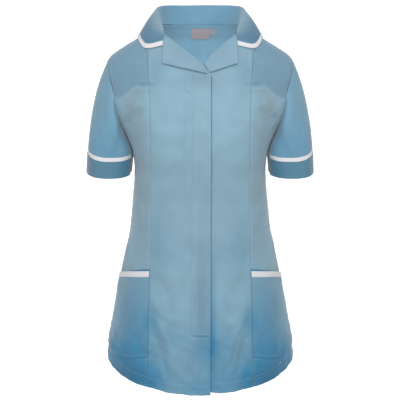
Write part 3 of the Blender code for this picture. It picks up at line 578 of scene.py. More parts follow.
def spread(width, count, marks=()):
    """Distances across each row of a panel, closer together at its edges and at marked distances."""
    share = np.linspace(0.0, 1.0, 500)
    even = np.linspace(0.0, 1.0, count)
    rows = []
    for row, across in enumerate(np.asarray(width, float)):
        place = share * across
        close = np.ones(len(share))
        for mark in [0.0, across] + [mark[row] for mark in marks]:
            close = close + 7.0 * mound((place - mark) / 2.2)
        total = np.concatenate([[0.0], np.cumsum(0.5 * (close[1:] + close[:-1]))])
        rows.append(np.interp(even, total / total[-1], place))
    return np.array(rows)


def cloth_rows(top):
    """The heights of a panel's rows, closer together at the armhole, the fly's foot and the hem."""
    shoulder = np.linspace(-1.2, ARMHOLE_TOP, SHOULDER_ROWS)[:-1]
    armhole = armhole_level(np.arange(ARMHOLE_STEPS + 1))
    skirt = np.linspace(ARMHOLE_FOOT, HEM + HEM_TURN + 3.0, SKIRT_ROWS)[1:]
    skirt = np.sort(np.concatenate([skirt, FLY_FOOT + np.array([1.5, 0.6, -0.6, -1.5, -2.6])]))[::-1]
    hem = HEM + np.array([21.2, 20.4, 19.6, 18.8, 17.0, 14.0, 10.0, 6.0, 3.5, 2.0, 1.0, 0.4, 0.0])
    rows = np.concatenate([shoulder, armhole, skirt, hem])
    return rows[rows <= top + 1e-6]


def seam_sink(distance, height=0.0):
    """Cloth dips into a seam, stands a little proud beside it and puckers along it, more so low down."""
    drawn = 0.16 + 0.30 * ease((-260.0 - height) / 300.0)
    pucker = drawn * np.sin(height / 2.6 + 2.2 * np.sin(height / 23.0)) * mound((distance - 3.0) / 3.5)
    return -SEAM_SINK * mound(distance / SEAM_SOFT) + 0.25 * mound((distance - 3.4) / 1.8) + pucker


def hem_lift(height, across):
    """The turned hem is a little thicker, and its line of stitches draws the cloth in."""
    above = height - HEM - HEM_TURN
    pucker = 0.34 * np.sin(across / 2.9 + 1.7 * np.sin(across / 21.0)) * mound((above + 4.0) / 8.0)
    return 0.30 * ease(-above / 1.5) - 0.60 * mound(above / 1.2) + pucker


def lay_out(face, heights, start, end, count, marks=(), probes=13):
    """The turns of a panel's points between two edges, how far across it they lie, and its widths."""
    start, end = start[:, None], end[:, None]
    probe = form_point(face, mix(start, end, np.linspace(0, 1, probes)[None, :]), heights[:, None])
    width = np.linalg.norm(np.diff(probe, axis=1), axis=-1).sum(1)
    across = spread(width, count, [width - mark for mark in marks])
    return mix(start, end, across / np.maximum(width[:, None], 1e-6)), across, width


# Thread of the twill's own blue, a little lighter. The real stitches are 2.5 mm apart and too fine to
# show, and these are 3.6 mm apart.
STITCH, STITCH_STEP, STITCH_HALF = 2.7, 3.6, 0.34
# Along a stitch: the share of its length, how high its ridge stands and its share of the width
STITCH_FORM = ((0.0, -0.15, 0.5), (0.25, 0.42, 1.0), (0.75, 0.42, 1.0), (1.0, -0.15, 0.5))
thread, tree, shader = new_finish("pale_blue_thread", 0.6, 0.1, 0.3)
fibres = add_node(tree, "ShaderNodeTexNoise", out="Fac", Scale=900.0)
skin = shader.inputs["Base Color"]
add_node(tree, "ShaderNodeMix", COLOURS, 2, skin, i0=fibres, i6=linear("88adc0"), i7=linear("9cbccb"))


def flip(grid):
    """The same grid with its rows for columns."""
    return np.swapaxes(grid, 0, 1)


def line_at(grid, place, wanted):
    """A line across a grid where its places along each row reach a value, with the way out there."""
    line, way = (
        np.array([[np.interp(wanted, at, row[:, k]) for k in range(3)] for at, row in zip(place, part)])
        for part in (grid, grid_normals(grid))
    )
    return line, unit(way)


def outward(line, way, face=None):
    """The same line with its way out turned to the side that a face looks to, or away from its middle."""
    toward = line - line.mean(0) if face is None else np.array([0.0, face, 0.0])
    return line, way * np.sign((way * toward).sum())


def sew(name, lines, slot="cloth"):
    """Rows of raised stitches along lines on the cloth, in one piece."""
    points, faces = [], []
    side = np.array([-1.0, 0.0, 1.0])[:, None]
    for line, way in lines:
        run = travel(line, 0)
        for start in np.arange(0.6, run[-1] - STITCH, STITCH_STEP):
            place = start + STITCH * np.array([share for share, high, wide in STITCH_FORM])
            spot, out = (
                np.stack([np.interp(place, run, part[:, k]) for k in range(3)], 1) for part in (line, way)
            )
            across = unit(np.cross(out[1], spot[-1] - spot[0])) * STITCH_HALF
            faces.extend(cells(len(points) + np.arange(12).reshape(4, 3)).reshape(-1, 4).tolist())
            for k, (share, high, wide) in enumerate(STITCH_FORM):
                points.extend(spot[k] + out[k] * np.array([[-0.2], [high], [-0.2]]) + across * side * wide)
    mesh = bpy.data.meshes.new(name)
    mesh.from_pydata((np.array(points) * MM).tolist(), [], faces)
    mesh.shade_smooth()
    mesh.materials.append(thread if slot == "cloth" else braid)
    piece = put_in_scene(name, mesh)
    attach(piece, "root")


heights = cloth_rows(-7.0)
back_edge = edge_turn(BACK, heights)
turn, across, width = lay_out(BACK, heights, -back_edge, back_edge, BACK_COLUMNS, probes=41)
height = np.broadcast_to(heights[:, None], turn.shape)
side = 2.0 * across[0] / width[0] - 1.0
neck_across = NECK_HALF * np.sin(0.5 * math.pi * side)
neck_height = NECK_SAG * np.cos(0.5 * math.pi * side) ** 2 + NECK_LEVEL
neck_turn = turn_at(BACK, neck_height, neck_across)
joined = np.linspace(0.0, 1.0, 5)[:-1, None]
turn = np.concatenate([mix(neck_turn, turn[0], joined), turn])
height = np.concatenate([mix(neck_height, height[0], joined), height])
across = np.concatenate([np.repeat(across[:1], 4, 0), across])
width = np.concatenate([np.repeat(width[:1], 4), width])
point = form_point(BACK, turn, height)
rise = seam_sink(across) + seam_sink(width[:, None] - across) + hem_lift(height, point[..., 0])
back_piece, outer, inner = cloth_shell(
    "back_panel", "back", BACK, turn, height, rise, CLOTH, sky, tints=spot_values(BACK, point)
)
sew("back_hem_stitches", [outward(*line_at(flip(outer), -flip(height), -HEM - HEM_TURN), BACK)])

# The fronts
# A middle and a side panel on each side, joined by a shaped seam from the shoulder to the hem. The right
# front laps over the left one, and the left one is cut a little shorter beside the lap.
SHAPED_SEAM = table("height across", [
    (-20, 112), (-45, 106), (-75, 101.5), (-112, 98.5), (-170, 97), (-260, 97.5),
    (-345, 99), (-440, 100.5), (-540, 102.5), (-640, 105.5), (-681, 107),
])
LAP_EDGE, UNDERLAP_EDGE, LAP_RAISE = 20.1, -14.0, 2.4
NECK_EDGE = table("height right left", [
    (0, -75, 75), (-6, -74.3, 74.3), (-11, -72.6, 72.6), (-16, -69.0, 69.0), (-40, -38.0, 39.5),
    (-60, -11.0, 16.0), (-72, 4.5, 6.5), (-82, 11.5, -6.0), (-94, LAP_EDGE, UNDERLAP_EDGE),
])


def lap_lift(across, height):
    """The right front rises over the left one at the centre."""
    below_fly = 1.7 * mound((height - FLY_FOOT + 1.3) / 1.3) * ease((across + 18.0) / 4.0)
    return LAP_RAISE * ease((across + 36.0) / 18.0) * ease((-52.0 - height) / 20.0) - below_fly


def under_lift(across, height):
    """The left front sinks beside the lap's edge, which presses on it."""
    pressed = 2.4 * mound((across - 21.0) / 0.9) + 0.7 * mound((across - 22.0) / 5.0)
    return -pressed * ease((-88.0 - height) / 10.0)


def short_hem(across, height):
    """The left front's hem rises beside the lap."""
    low = ease((-600.0 - height) / 70.0)
    return low * (2.0 * ease((110.0 - across) / 60.0) + 3.0 * ease((40.0 - across) / 16.0))


def middle_edges(hand, heights):
    """The turns of a middle front's seam and of its neck or centre edge."""
    inner = read(NECK_EDGE, "right" if hand == RIGHT else "left", heights)
    outer = hand * np.where(
        heights > SHAPED_SEAM["height"][0],
        read(BODY, "half_width", heights),
        read(SHAPED_SEAM, "across", heights) - 0.5 * SEAM_GAP,
    )
    return turn_at(FRONT, heights, outer), turn_at(FRONT, heights, inner)


def side_edges(heights):
    """The turns of a side front's shaped seam and of its side, armhole or shoulder."""
    start = turn_at(FRONT, heights, read(SHAPED_SEAM, "across", heights) + 0.5 * SEAM_GAP)
    return start, edge_turn(FRONT, heights)


def pocket_dip(across, height):
    """The cloth sinks into the pocket's mouth just above its band."""
    return -1.8 * mound((height - pocket_mouth(across) - 1.2) / 1.9)


def panel(name, node, heights, start, end, count, lift, shift=None, far_seam=True, marks=()):
    """A front panel between two turns in each row, with its lines of stitches."""
    turn, across, width = lay_out(FRONT, heights, start, end, count, marks)
    height = np.broadcast_to(heights[:, None], turn.shape)
    point = form_point(FRONT, turn, height)
    rise = hem_lift(height, point[..., 0]) + seam_sink(across, height)
    if far_seam:
        rise = rise + seam_sink(width[:, None] - across, height)
    rise = rise + lift(point[..., 0], height)
    outer = cloth_point(FRONT, turn, height, rise)
    inner = cloth_point(FRONT, turn, height, rise - CLOTH)
    if shift is not None:
        for grid in (outer, inner):
            grid[..., 2] += shift(point[..., 0], height)
    piece = shell(name, node, outer, inner, sky, tints=spot_values(FRONT, point))
    hem = line_at(flip(outer), -flip(height), -HEM - HEM_TURN)
    return piece, [outward(*hem, FRONT), outward(*line_at(outer, across, SEAM_STITCH), FRONT)]


front_lines = []
for word, hand in HANDS.items():
    heights = cloth_rows(-1.2)
    middle, lines = panel(
        f"{word}_front", f"front_center_{word}", heights, *middle_edges(hand, heights), 46,
        lift=lap_lift if hand == RIGHT else under_lift,
        shift=None if hand == RIGHT else short_hem,
        far_seam=False,
        marks=() if hand == RIGHT else (35.0,),
    )
    heights = cloth_rows(-22.0)
    start, end = side_edges(heights)
    side_front, more_lines = panel(
        f"{word}_side_front", f"front_side_{word}", heights, hand * start, hand * end, 42, pocket_dip
    )
    front_lines += lines + more_lines
sew("front_stitches", front_lines)

# The fly
# A double band of twill on the right front, stitched down along its inner edge, that covers the
# fastening. It ends above the hem with a turned edge.
FLY_SHARE, FLY_WALL, FLY_SEAM = 0.70, 1.3, 9.5
FLY_COLUMNS = np.array([
    0, 0.015, 0.03, 0.05, 0.08, 0.12, 0.18, 0.25, 0.32, 0.4, 0.5, 0.6, 0.7, 0.8, 0.88, 0.94, 0.97, 0.985, 1
])
foot_rows = FLY_FOOT + np.array([4.5, 3.0, 2.0, 1.2, 0.6, 0.0])
heights = np.concatenate([np.linspace(FLY_TOP, FLY_FOOT + 6.0, 120), foot_rows])
fly_start = mix(-read(SHAPED_SEAM, "across", heights), LAP_EDGE, FLY_SHARE)[:, None]
fly_across = mix(fly_start, LAP_EDGE - 0.1, FLY_COLUMNS[None, :])
height = np.broadcast_to(heights[:, None], fly_across.shape)
turn = turn_at(FRONT, height, fly_across)
from_start = fly_across - fly_start
# Rounded down along both edges, and pulled in a little by the second row of stitches
rise = lap_lift(fly_across, height) + 0.12 + FLY_WALL
rise = rise - 0.55 * mound(from_start / 0.9) - 0.30 * mound(from_start - FLY_SEAM)
rise = rise - 0.35 * mound((fly_across - LAP_EDGE) / 0.8)
tints = spot_values(FRONT, form_point(FRONT, turn, height), grey=0.12)
fly, outer, inner = cloth_shell("fly_band", "placket", FRONT, turn, height, rise, FLY_WALL, sky, tints=tints)
fly_lines = [line_at(outer, from_start, 1.6), line_at(outer, from_start, FLY_SEAM)]
fly_lines.append(line_at(flip(outer), -flip(height), -FLY_FOOT - 2.4))
sew("fly_stitches", [outward(*line, FRONT) for line in fly_lines])

# The lapels
# The tops of the fronts turn back on a soft roll, faced with the same twill and stitched along their
# free edges. Each lies on its middle front below the collar's end.
LAPEL_TOP, LAPEL_TIP, LAPEL_TIP_SHARE = (69.6, -17.0), (70.8, -73.0), 0.60
LAPEL_FEET = {RIGHT: (14.0, -92.0), LEFT: (18.0, -89.0)}
LAPEL_REST, LAPEL_ROLL_RISE, LAPEL_WALL, LAPEL_CLEAR = 0.8, 1.9, 1.2, 1.0
LAPEL_RIM_RISE, LAPEL_SEAM = 3.8, 4.0
LAPEL_ROWS, LAPEL_COLUMNS, ROLL_TURNS = 56, 30, 7
LAPEL_RIM_COLUMNS = [0.92, 0.94, 0.96, 0.975, 0.99, 1.0]

for word, hand in HANDS.items():
    # The roll follows the neck edge down to the foot, and the free edge goes out to the tip and back
    share = mix(0.0, 0.99, np.linspace(0.0, 1.0, LAPEL_ROWS + 1))
    foot = LAPEL_FEET[hand]
    roll_height = mix(LAPEL_TOP[1] - 1.0, foot[1] + 1.5, share)
    right_edge = read(NECK_EDGE, "right", roll_height)
    if hand == RIGHT:
        roll_across = np.minimum(right_edge, foot[0])
    else:
        roll_across = np.maximum(read(NECK_EDGE, "left", roll_height), right_edge + LAPEL_CLEAR)
    up, down = share / LAPEL_TIP_SHARE, (share - LAPEL_TIP_SHARE) / (1.0 - LAPEL_TIP_SHARE)
    upper = share < LAPEL_TIP_SHARE
    tip = hand * LAPEL_TIP[0]
    rim_across = np.where(upper, mix(hand * LAPEL_TOP[0], tip, up), mix(tip, foot[0], down))
    rim_height = np.where(upper, mix(LAPEL_TOP[1], LAPEL_TIP[1], up), mix(LAPEL_TIP[1], foot[1], down))
    part = np.concatenate([np.linspace(0.0, 0.9, LAPEL_COLUMNS - 6), LAPEL_RIM_COLUMNS])[None, :]
    height = mix(roll_height[:, None], rim_height[:, None], part)
    across = mix(roll_across[:, None], rim_across[:, None], part)
    turn = turn_at(FRONT, height, across)
    span = np.hypot(rim_across - roll_across, rim_height - roll_height)[:, None]
    # It lies close in the middle and stands off at the roll and at the free edge
    rest = LAPEL_REST + LAPEL_ROLL_RISE * (1.0 - part) ** 2 + LAPEL_RIM_RISE * part**5
    if hand == RIGHT:
        rest = rest + lap_lift(across, height)
    stitched = -0.35 * mound(((1.0 - part) * span - LAPEL_SEAM) / 1.1)
    outer = cloth_point(FRONT, turn, height, rest + LAPEL_WALL + stitched)
    inner = cloth_point(FRONT, turn, height, rest)
    wide = span[:, 0] > 10.0
    lapel_lines = [outward(*line_at(outer[wide], ((part - 1.0) * span)[wide], -LAPEL_SEAM), FRONT)]
    # The first columns come round the roll from below, and those beside it draw back by its radius
    toward = unit(outer[:, :1] - outer[:, 2:3])
    back_off = ease(np.linspace(6.0, 0.0, LAPEL_COLUMNS) / 6.0)[None, :, None]
    normal = form_normal(FRONT, turn[:, :1], height[:, :1])
    angle = np.linspace(-75.0, 65.0, ROLL_TURNS)[None, :, None] * math.pi / 180.0
    radius = 0.5 * (rest[:, :1] + LAPEL_WALL)[..., None] + 0.35
    outer = outer - toward * radius * back_off
    inner = inner - toward * radius * back_off
    axis = outer[:, :1] - normal * radius
    around = normal * np.sin(angle) + toward * np.cos(angle)
    lapel = shell(
        f"{word}_lapel", f"lapel_{word}",
        np.concatenate([axis + around * radius, outer], 1),
        np.concatenate([axis + around * (radius - LAPEL_WALL * 0.8), inner], 1),
        sky, tints={"grey": 0.30, "deep": 0.08},
    )
    sew(f"{word}_lapel_stitches", lapel_lines)

# The sleeves
# Short set-in sleeves of the same twill, full at the head and hanging beside the body, each a tube
# closed by an underarm seam. They are sewn into the armholes.
RING = "middle outer inner half_depth square hollow height_outer height_inner"
SLEEVE_END, TRIM_END, CUFF_END = table(RING, [
    (180, 45.5, 47, 61, 2.6, 6.5, -243, -259.5),
    (181, 45.5, 46.5, 62, 2.6, 6.5, -251.5, -267.5),
    (184, 44.8, 45.0, 64, 2.6, 4.0, -291, -300),
])
# How a ring's level falls from its outside to the body
RING_FALL = table("share level", [
    (0, 0), (0.03, 0.16), (0.13, 0.45), (0.285, 0.72), (0.5, 0.88), (0.7, 0.86), (0.9, 0.70), (1, 0.66),
])
HOLLOW_WIDTH = 26.0
SLEEVE_SHIFT = np.array([0.40, 0.0, -0.12])
SLEEVE_LINES = table("turn lean pull_top pull_band push", [
    (0.0, 0.50, 58, 58, 0.0), (0.25, 0.35, 48, 50, 0.1), (0.5, 0.12, 34, 34, 0.6),
    (0.75, -0.20, 22, 18, 1.1), (0.88, -0.30, 16, 12, 0.9), (1.0, 0.0, 9, 9, 0.0),
])
SLEEVE_ROWS = np.concatenate([[0.0, 0.006, 0.014, 0.025, 0.04], np.linspace(0.06, 1.0, 46)])
# Placed on the left sleeve, and on the right one mirrored and a few millimetres lower
SLEEVE_CREASES = table(CREASE_COLUMNS, by_view({
    FRONT: [
        (150, -150, 166, -262, 4, 8, 1.4), (158, -176, 184, -262, 5, 9, -1.5),
        (141, -196, 152, -262, 2, 5, -1.8), (196, -92, 214, -250, 6, 12, 1.2),
        (182, -110, 196, -230, 5, 11, -1.0),
    ],
    BACK: [
        (150, -150, 170, -262, -4, 9, 1.5), (162, -170, 190, -262, -5, 9, -1.5),
        (200, -100, 216, -240, -5, 12, 1.2),
    ],
    LEFT_SIDE: [
        (-10, -110, -22, -240, 4, 12, -1.0), (20, -120, 30, -246, 3, 12, 1.1),
    ],
}))


def ring_point(ring, angle):
    """A left sleeve ring, angle 0 at its outside and a half turn at the body, front first."""
    power = 2.0 / ring["square"]
    cosine, sine = np.cos(angle), np.sin(angle)
    reach = np.where(cosine > 0.0, ring["outer"], ring["inner"])
    x = ring["middle"] + reach * np.sign(cosine) * np.abs(cosine) ** power
    y = -ring["half_depth"] * np.sign(sine) * np.abs(sine) ** power
    x = x + np.where(cosine < 0.0, ring["hollow"] * mound(y / HOLLOW_WIDTH), 0.0)
    level = read(RING_FALL, "level", 0.5 * (1.0 - cosine))
    return np.stack([x, y, mix(ring["height_outer"], ring["height_inner"], level)], -1)


def sleeve_grid():
    """The left sleeve's outside, rows down and steps round it from the shoulder, front first."""
    step = np.arange(2 * ARMHOLE_STEPS)
    before = step <= ARMHOLE_STEPS
    down = np.where(before, step, 2 * ARMHOLE_STEPS - step)
    height = armhole_level(down)
    start = np.where(
        before[:, None],
        cloth_point(FRONT, edge_turn(FRONT, height), height, -0.4),
        cloth_point(BACK, edge_turn(BACK, height), height, -0.4),
    )
    start[(down == 0) | (down == ARMHOLE_STEPS), 1] = 0.0
    start = start + SLEEVE_SHIFT
    end = ring_point(SLEEVE_END, math.pi * step / ARMHOLE_STEPS)
    turn = down / ARMHOLE_STEPS
    lean = read(SLEEVE_LINES, "lean", turn)
    push = read(SLEEVE_LINES, "push", turn) * np.where(before, -1.0, 0.5)
    leave = unit(np.stack([lean, push, -np.ones(len(lean))], -1))
    leave = leave * read(SLEEVE_LINES, "pull_top", turn)[:, None]
    arrive = unit(np.array([0.08, 0.0, -1.0])) * read(SLEEVE_LINES, "pull_band", turn)[:, None]
    return bezier(start, start + leave, end - arrive, end, SLEEVE_ROWS[:, None, None])


sleeve = sleeve_grid()
facing = -grid_normals(sleeve, ring=True)
from_seam = travel(sleeve, 0)
# The seam dips and the head is a little full beside it
head = 0.75 * (1.0 - mound(from_seam / 1.6)) * np.exp(-from_seam / 60.0)
to_band = from_seam[-1:] - from_seam
for word, hand in HANDS.items():
    lower = np.array([0.0, 0.0, 5.0 if hand == RIGHT else 0.0])
    fold = crease_rise(SLEEVE_CREASES, sleeve + lower, facing) * ease(from_seam / 14.0) * ease(to_band / 12.0)
    rise = head + fold + 0.8 * sway(sleeve * hand) * ease(to_band / 20.0)
    outer = sleeve + facing * rise[..., None]
    inner = outer - facing * CLOTH
    mirrored = np.array([hand, 1.0, 1.0])
    # Painted shade: greyer low down beside the body, and deeper towards the band
    inside = ease((185.0 - outer[..., 0]) / 40.0)
    grey = 0.12 + 0.25 * inside * ease((-190.0 - outer[..., 2]) / 40.0)
    deep = 0.02 + 0.20 * ease((-150.0 - outer[..., 2]) / 90.0)
    sleeve_piece = shell(
        f"{word}_sleeve", f"sleeve_{word}", outer * mirrored, inner * mirrored, sky, ring=True,
        tints={"grey": grey, "deep": deep},
    )
    loop, way = line_at(flip(outer), flip(from_seam), SEAM_STITCH)
    loop, way = (np.concatenate([part, part[:1]]) * mirrored for part in (loop, way))
    sew(f"{word}_armhole_stitches", [outward(loop, way)])

# The sleeve bands and cuffs
# A white woven band runs round each sleeve above a plain cuff of twill. Both are tubes, sewn on
# edge to edge.
braid, tree, shader = new_finish("white_woven_edging", 0.78, 0.10, 0.25)
# Its ribs are under half a millimetre, too fine to show, and are drawn 1.6 mm apart
BRAID_PITCH = 1.6
place = add_node(tree, "ShaderNodeUVMap", GRAIN)
scale = WAVE_SPAN / (BRAID_PITCH * MM)
ribs = add_node(tree, "ShaderNodeTexWave", BANDS, "Fac", Vector=place, Scale=scale, Distortion=0.3)
fibres = add_node(tree, "ShaderNodeTexNoise", out="Fac", Vector=place, Scale=500.0)
texture = add_node(tree, "ShaderNodeMix", i0=0.35, i2=ribs, i3=fibres)
skin, grain = shader.inputs["Base Color"], shader.inputs["Normal"]
add_node(tree, "ShaderNodeMix", COLOURS, 2, skin, i0=texture, i6=linear("cccbcf"), i7=linear("dedde0"))
add_node(tree, "ShaderNodeBump", into=grain, Strength=0.4, Distance=0.0004, Height=texture)

BAND_PROUD, BAND_UNDER, CUFF_UNDER, CUFF_DEPTH = 0.7, 0.8, 1.6, 32.0
WITHOUT_HEIGHT = np.array([1.0, 1.0, 0.0])
angles = math.pi * np.arange(2 * ARMHOLE_STEPS) / ARMHOLE_STEPS
# What stays free between sleeve, band and cuff
gap = np.array([0.0, 0.0, 0.15])
band_top, band_foot = ring_point(SLEEVE_END, angles), ring_point(TRIM_END, angles)
band_share = np.array([0.0, 0.05, 0.12, 0.3, 0.5, 0.7, 0.88, 0.95, 1.0])[:, None, None]
band = mix(band_top - gap, band_foot + gap, band_share)
band_out = -grid_normals(band, ring=True) * WITHOUT_HEIGHT
band_swell = BAND_PROUD * np.minimum(1.0, 2.2 * np.sin(math.pi * band_share) ** 0.5)
cuff_share = np.concatenate([[0.0, 0.015, 0.04], np.linspace(0.08, 0.94, 16), [0.97, 0.985, 1.0]])
cuff_share = cuff_share[:, None, None]
cuff = mix(band_foot - gap, ring_point(CUFF_END, angles), cuff_share)
cuff_out = -grid_normals(cuff, ring=True) * WITHOUT_HEIGHT
away = cuff_share * CUFF_DEPTH
# Drawn in at its seam and rounded at its foot
cuff_swell = -0.6 * mound(away / 1.2) - 0.5 * mound((CUFF_DEPTH - away) / 0.8)
# The cuffs lie double and are drawn a darker, greyer blue. They are greyer at the outside, and painted shade
# makes them deeper towards the body
cuff_twill = twill("darker_cuff_twill", "527e95", "5f7f90", "3e7189")
cuff_tints = {"grey": 0.5 + 0.5 * np.cos(angles), "deep": 0.6 * ease(-np.cos(angles))}
for word, hand in HANDS.items():
    mirrored = np.array([hand, 1.0, 1.0])
    band_piece = shell(
        f"{word}_sleeve_band", f"sleeve_trim_{word}",
        (band + band_out * band_swell) * mirrored,
        (band - band_out * BAND_UNDER) * mirrored,
        braid, ring=True,
    )
    wave = 0.5 * np.sin(3.0 * angles + hand)[None, :, None] * cuff_share
    cuff_piece = shell(
        f"{word}_cuff", f"cuff_{word}",
        (cuff + cuff_out * (cuff_swell + wave)) * mirrored,
        (cuff - cuff_out * (CUFF_UNDER - wave)) * mirrored,
        cuff_twill, ring=True, tints=cuff_tints,
    )

# The pockets
# A patch of twill on each side front, from the shaped seam to the side seam, with a rounded foot. A
# white woven band edges its slanting mouth.
POCKET = table("share mouth foot", list(zip((0.0, 0.5, 1.0), MOUTH, (-626, -650, -655))))
POCKET_WALL, POCKET_REST, POCKET_BAND, POCKET_GIRTH, POCKET_HEM = 1.0, 0.6, 10.8, 105.0, 5.0
POCKET_COLUMNS = np.concatenate([
    [0.003, 0.008, 0.016, 0.03], np.linspace(0.05, 0.95, 26), [0.97, 0.984, 0.992, 0.997],
])
POCKET_ROWS = np.concatenate([[0.0, 0.006, 0.015], np.linspace(0.03, 0.97, 36), [0.98, 0.99, 1.0]])[:, None]
BAND_ROWS = np.array([0.0, 0.5, 1.2, 2.2, 4.0, 6.0, 8.0, 9.4, 10.2, POCKET_BAND])[:, None]
BAND_SEAM = 1.3

for word, hand in HANDS.items():
    mouth = read(POCKET, "mouth", POCKET_COLUMNS)[None, :]
    foot = read(POCKET, "foot", POCKET_COLUMNS)[None, :]
    for kind, node, slot, finish, wall, height in (
        ("pocket_band", "pocket_trim", "braid", braid, POCKET_WALL + 0.4, mouth - BAND_ROWS),
        ("pocket", "pocket", "cloth", sky, POCKET_WALL, mix(mouth - POCKET_BAND - 0.1, foot, POCKET_ROWS)),
    ):
        start, end = side_edges(height)
        share = np.broadcast_to(POCKET_COLUMNS[None, :], height.shape)
        turn = hand * mix(start, end, share)
        # It stands off most in the middle, rounds down at its edges and dips along its stitches
        inward = np.minimum(share, 1.0 - share) * POCKET_GIRTH
        bulge = 1.6 * np.sin(math.pi * share) ** 0.7 * ease((height + 640.0) / 90.0)
        above_foot = height - foot
        rise = POCKET_REST + wall + bulge - 0.5 * mound(inward)
        rise = rise - 0.5 * mound(above_foot) - 0.3 * mound((above_foot - POCKET_HEM) / 1.2)
        if slot == "braid":
            rise = rise - 0.4 * mound(BAND_ROWS / 0.8) - 0.3 * mound((BAND_ROWS - POCKET_BAND) / 0.6)
            tints = None
            down, seams = np.broadcast_to(BAND_ROWS, height.shape), (BAND_SEAM, POCKET_BAND - BAND_SEAM)
        else:
            # The pocket takes a little deeper blue painted shade all over
            tints = spot_values(FRONT, form_point(FRONT, turn, height), deep=0.22)
            down, seams = -above_foot, (-POCKET_HEM,)
        piece, outer, inner = cloth_shell(
            f"{word}_{kind}", f"{node}_{word}", FRONT, turn, height, rise, wall, finish, tints
        )
        lines = [line_at(flip(outer), flip(down), place) for place in seams]
        sew(f"{word}_{kind}_stitches", [outward(*line, FRONT) for line in lines], slot)

# The collar
# A stand and a fall cut in one, of two layers of twill with interlining. It rises from the neck seam,
# rolls over and lies on the shoulders, and a white woven band binds its outer edge.
NECK_BACK_SHARE, NECK_FRONT, COLLAR_LIFT, FALL_REST = 0.62, -16.0, 0.6, 3.2
ROLL_LINE = np.array([
    (0, 74, 38), (32, 73, 38), (60, 62, 38), (80, 37, 36), (86, 8, 29), (80, -20, 10), (70.6, -46, -8.8),
])
FALL_EDGE = table("face across height", [
    (BACK, 0, -24), (BACK, 55, -24), (BACK, 96, -24), (BACK, 119, -25.5),
    (FRONT, 121, -29), (FRONT, 106, -45), (FRONT, 71, -40),
])
ROLL_RADIUS, ROLL_SQUARE, FALL_SWELL = 3.4, 0.62, 2.0
COLLAR_WALL = 1.6
STAND_STEPS, ROLL_STEPS, FALL_STEPS = 8, 8, 22


def along(points, share):
    """Places on a smooth curve through points in space, share 0 to 1, evenly by span."""
    spans = len(points) - 1
    padded = np.concatenate([2 * points[:1] - points[1:2], points, 2 * points[-1:] - points[-2:-1]])
    place = np.clip(share * spans, 0.0, spans - 1e-6)
    index = place.astype(int)
    before, start, end, after = (padded[index + k] for k in range(4))
    leave, arrive = start + (end - before) / 6.0, end - (after - start) / 6.0
    return bezier(start, leave, arrive, end, (place - index)[:, None])


def neck_seam(share):
    """The neck seam, from the centre back to the collar's front end."""
    angle = 0.5 * math.pi * np.minimum(share / NECK_BACK_SHARE, 1.0)
    height = NECK_SAG * np.cos(angle) ** 2 + NECK_LEVEL
    behind = cloth_point(BACK, turn_at(BACK, height, NECK_HALF * np.sin(angle)), height)
    in_front = np.clip((share - NECK_BACK_SHARE) / (1.0 - NECK_BACK_SHARE), 0.0, 1.0)
    height = mix(NECK_LEVEL, NECK_FRONT, in_front)
    before = cloth_point(FRONT, turn_at(FRONT, height, read(NECK_EDGE, "left", height)), height)
    return np.where((share <= NECK_BACK_SHARE)[:, None], behind, before)


collar_share = np.concatenate([np.linspace(0.0, 0.5, 34)[:-1], np.linspace(0.5, 1.0, 52)])
edge_points = []
for row in FALL_EDGE:
    face, height = int(row["face"]), row["height"]
    edge_points.append(cloth_point(face, turn_at(face, height, row["across"]), height, FALL_REST))
edge_points = np.array(edge_points)
seam = neck_seam(collar_share) + np.array([0.0, 0.0, COLLAR_LIFT])
roll, edge = along(ROLL_LINE, collar_share), along(edge_points, collar_share)
up = np.array([0.0, 0.0, 1.0])
# The collar rolls over square to its roll line behind, and towards its own edge at the front
out = unit((edge - roll) * WITHOUT_HEIGHT)
way = along(ROLL_LINE, collar_share + 0.01) - along(ROLL_LINE, collar_share - 0.01)
square = unit(np.stack([-way[:, 1], way[:, 0], 0.0 * way[:, 0]], -1))
out = unit(mix(square, out, ease((collar_share - ROLL_SQUARE) / (1.0 - ROLL_SQUARE))[:, None]))
center = roll - up * ROLL_RADIUS
# How far it turns round the roll before the fall leaves straight for the edge
reach = edge - center
reach_out = (reach * out).sum(-1)
slope = np.arctan2(-reach[:, 2], reach_out) + np.arcsin(ROLL_RADIUS / np.hypot(reach[:, 2], reach_out))
turned = 0.5 * math.pi + slope


def round_roll(angle):
    """Points round the roll, an angle up from its inner side."""
    angle = angle[:, None]
    return center + (up * np.sin(angle) - out * np.cos(angle)) * ROLL_RADIUS


stand = [mix(seam, round_roll(0.0 * turned), s / STAND_STEPS) for s in range(STAND_STEPS)]
bend = [round_roll(turned * s / ROLL_STEPS) for s in range(ROLL_STEPS + 1)]
swell = (up * np.sin(turned)[:, None] - out * np.cos(turned)[:, None]) * FALL_SWELL
fall_parts = np.concatenate([np.linspace(0.0, 0.9, FALL_STEPS - 4)[1:], [0.93, 0.955, 0.975, 0.99, 1.0]])
fall = [mix(bend[-1], edge, part) + swell * math.sin(math.pi * part) for part in fall_parts]
half = np.stack(stand + bend + fall, 1)
collar = np.concatenate([(half * np.array([-1.0, 1.0, 1.0]))[:0:-1], half])
facing = grid_normals(collar)
facing = facing * np.sign(facing[len(collar) // 2, -1, 1])
bow = np.sin(np.linspace(0.0, math.pi, collar.shape[1]))[None, :]
soft = 0.35 * np.sin(collar[..., 0] / 17.0 + 0.6) * bow
collar = collar + facing * soft[..., None]
to_edge = np.linalg.norm(collar - collar[:, -1:], axis=-1)
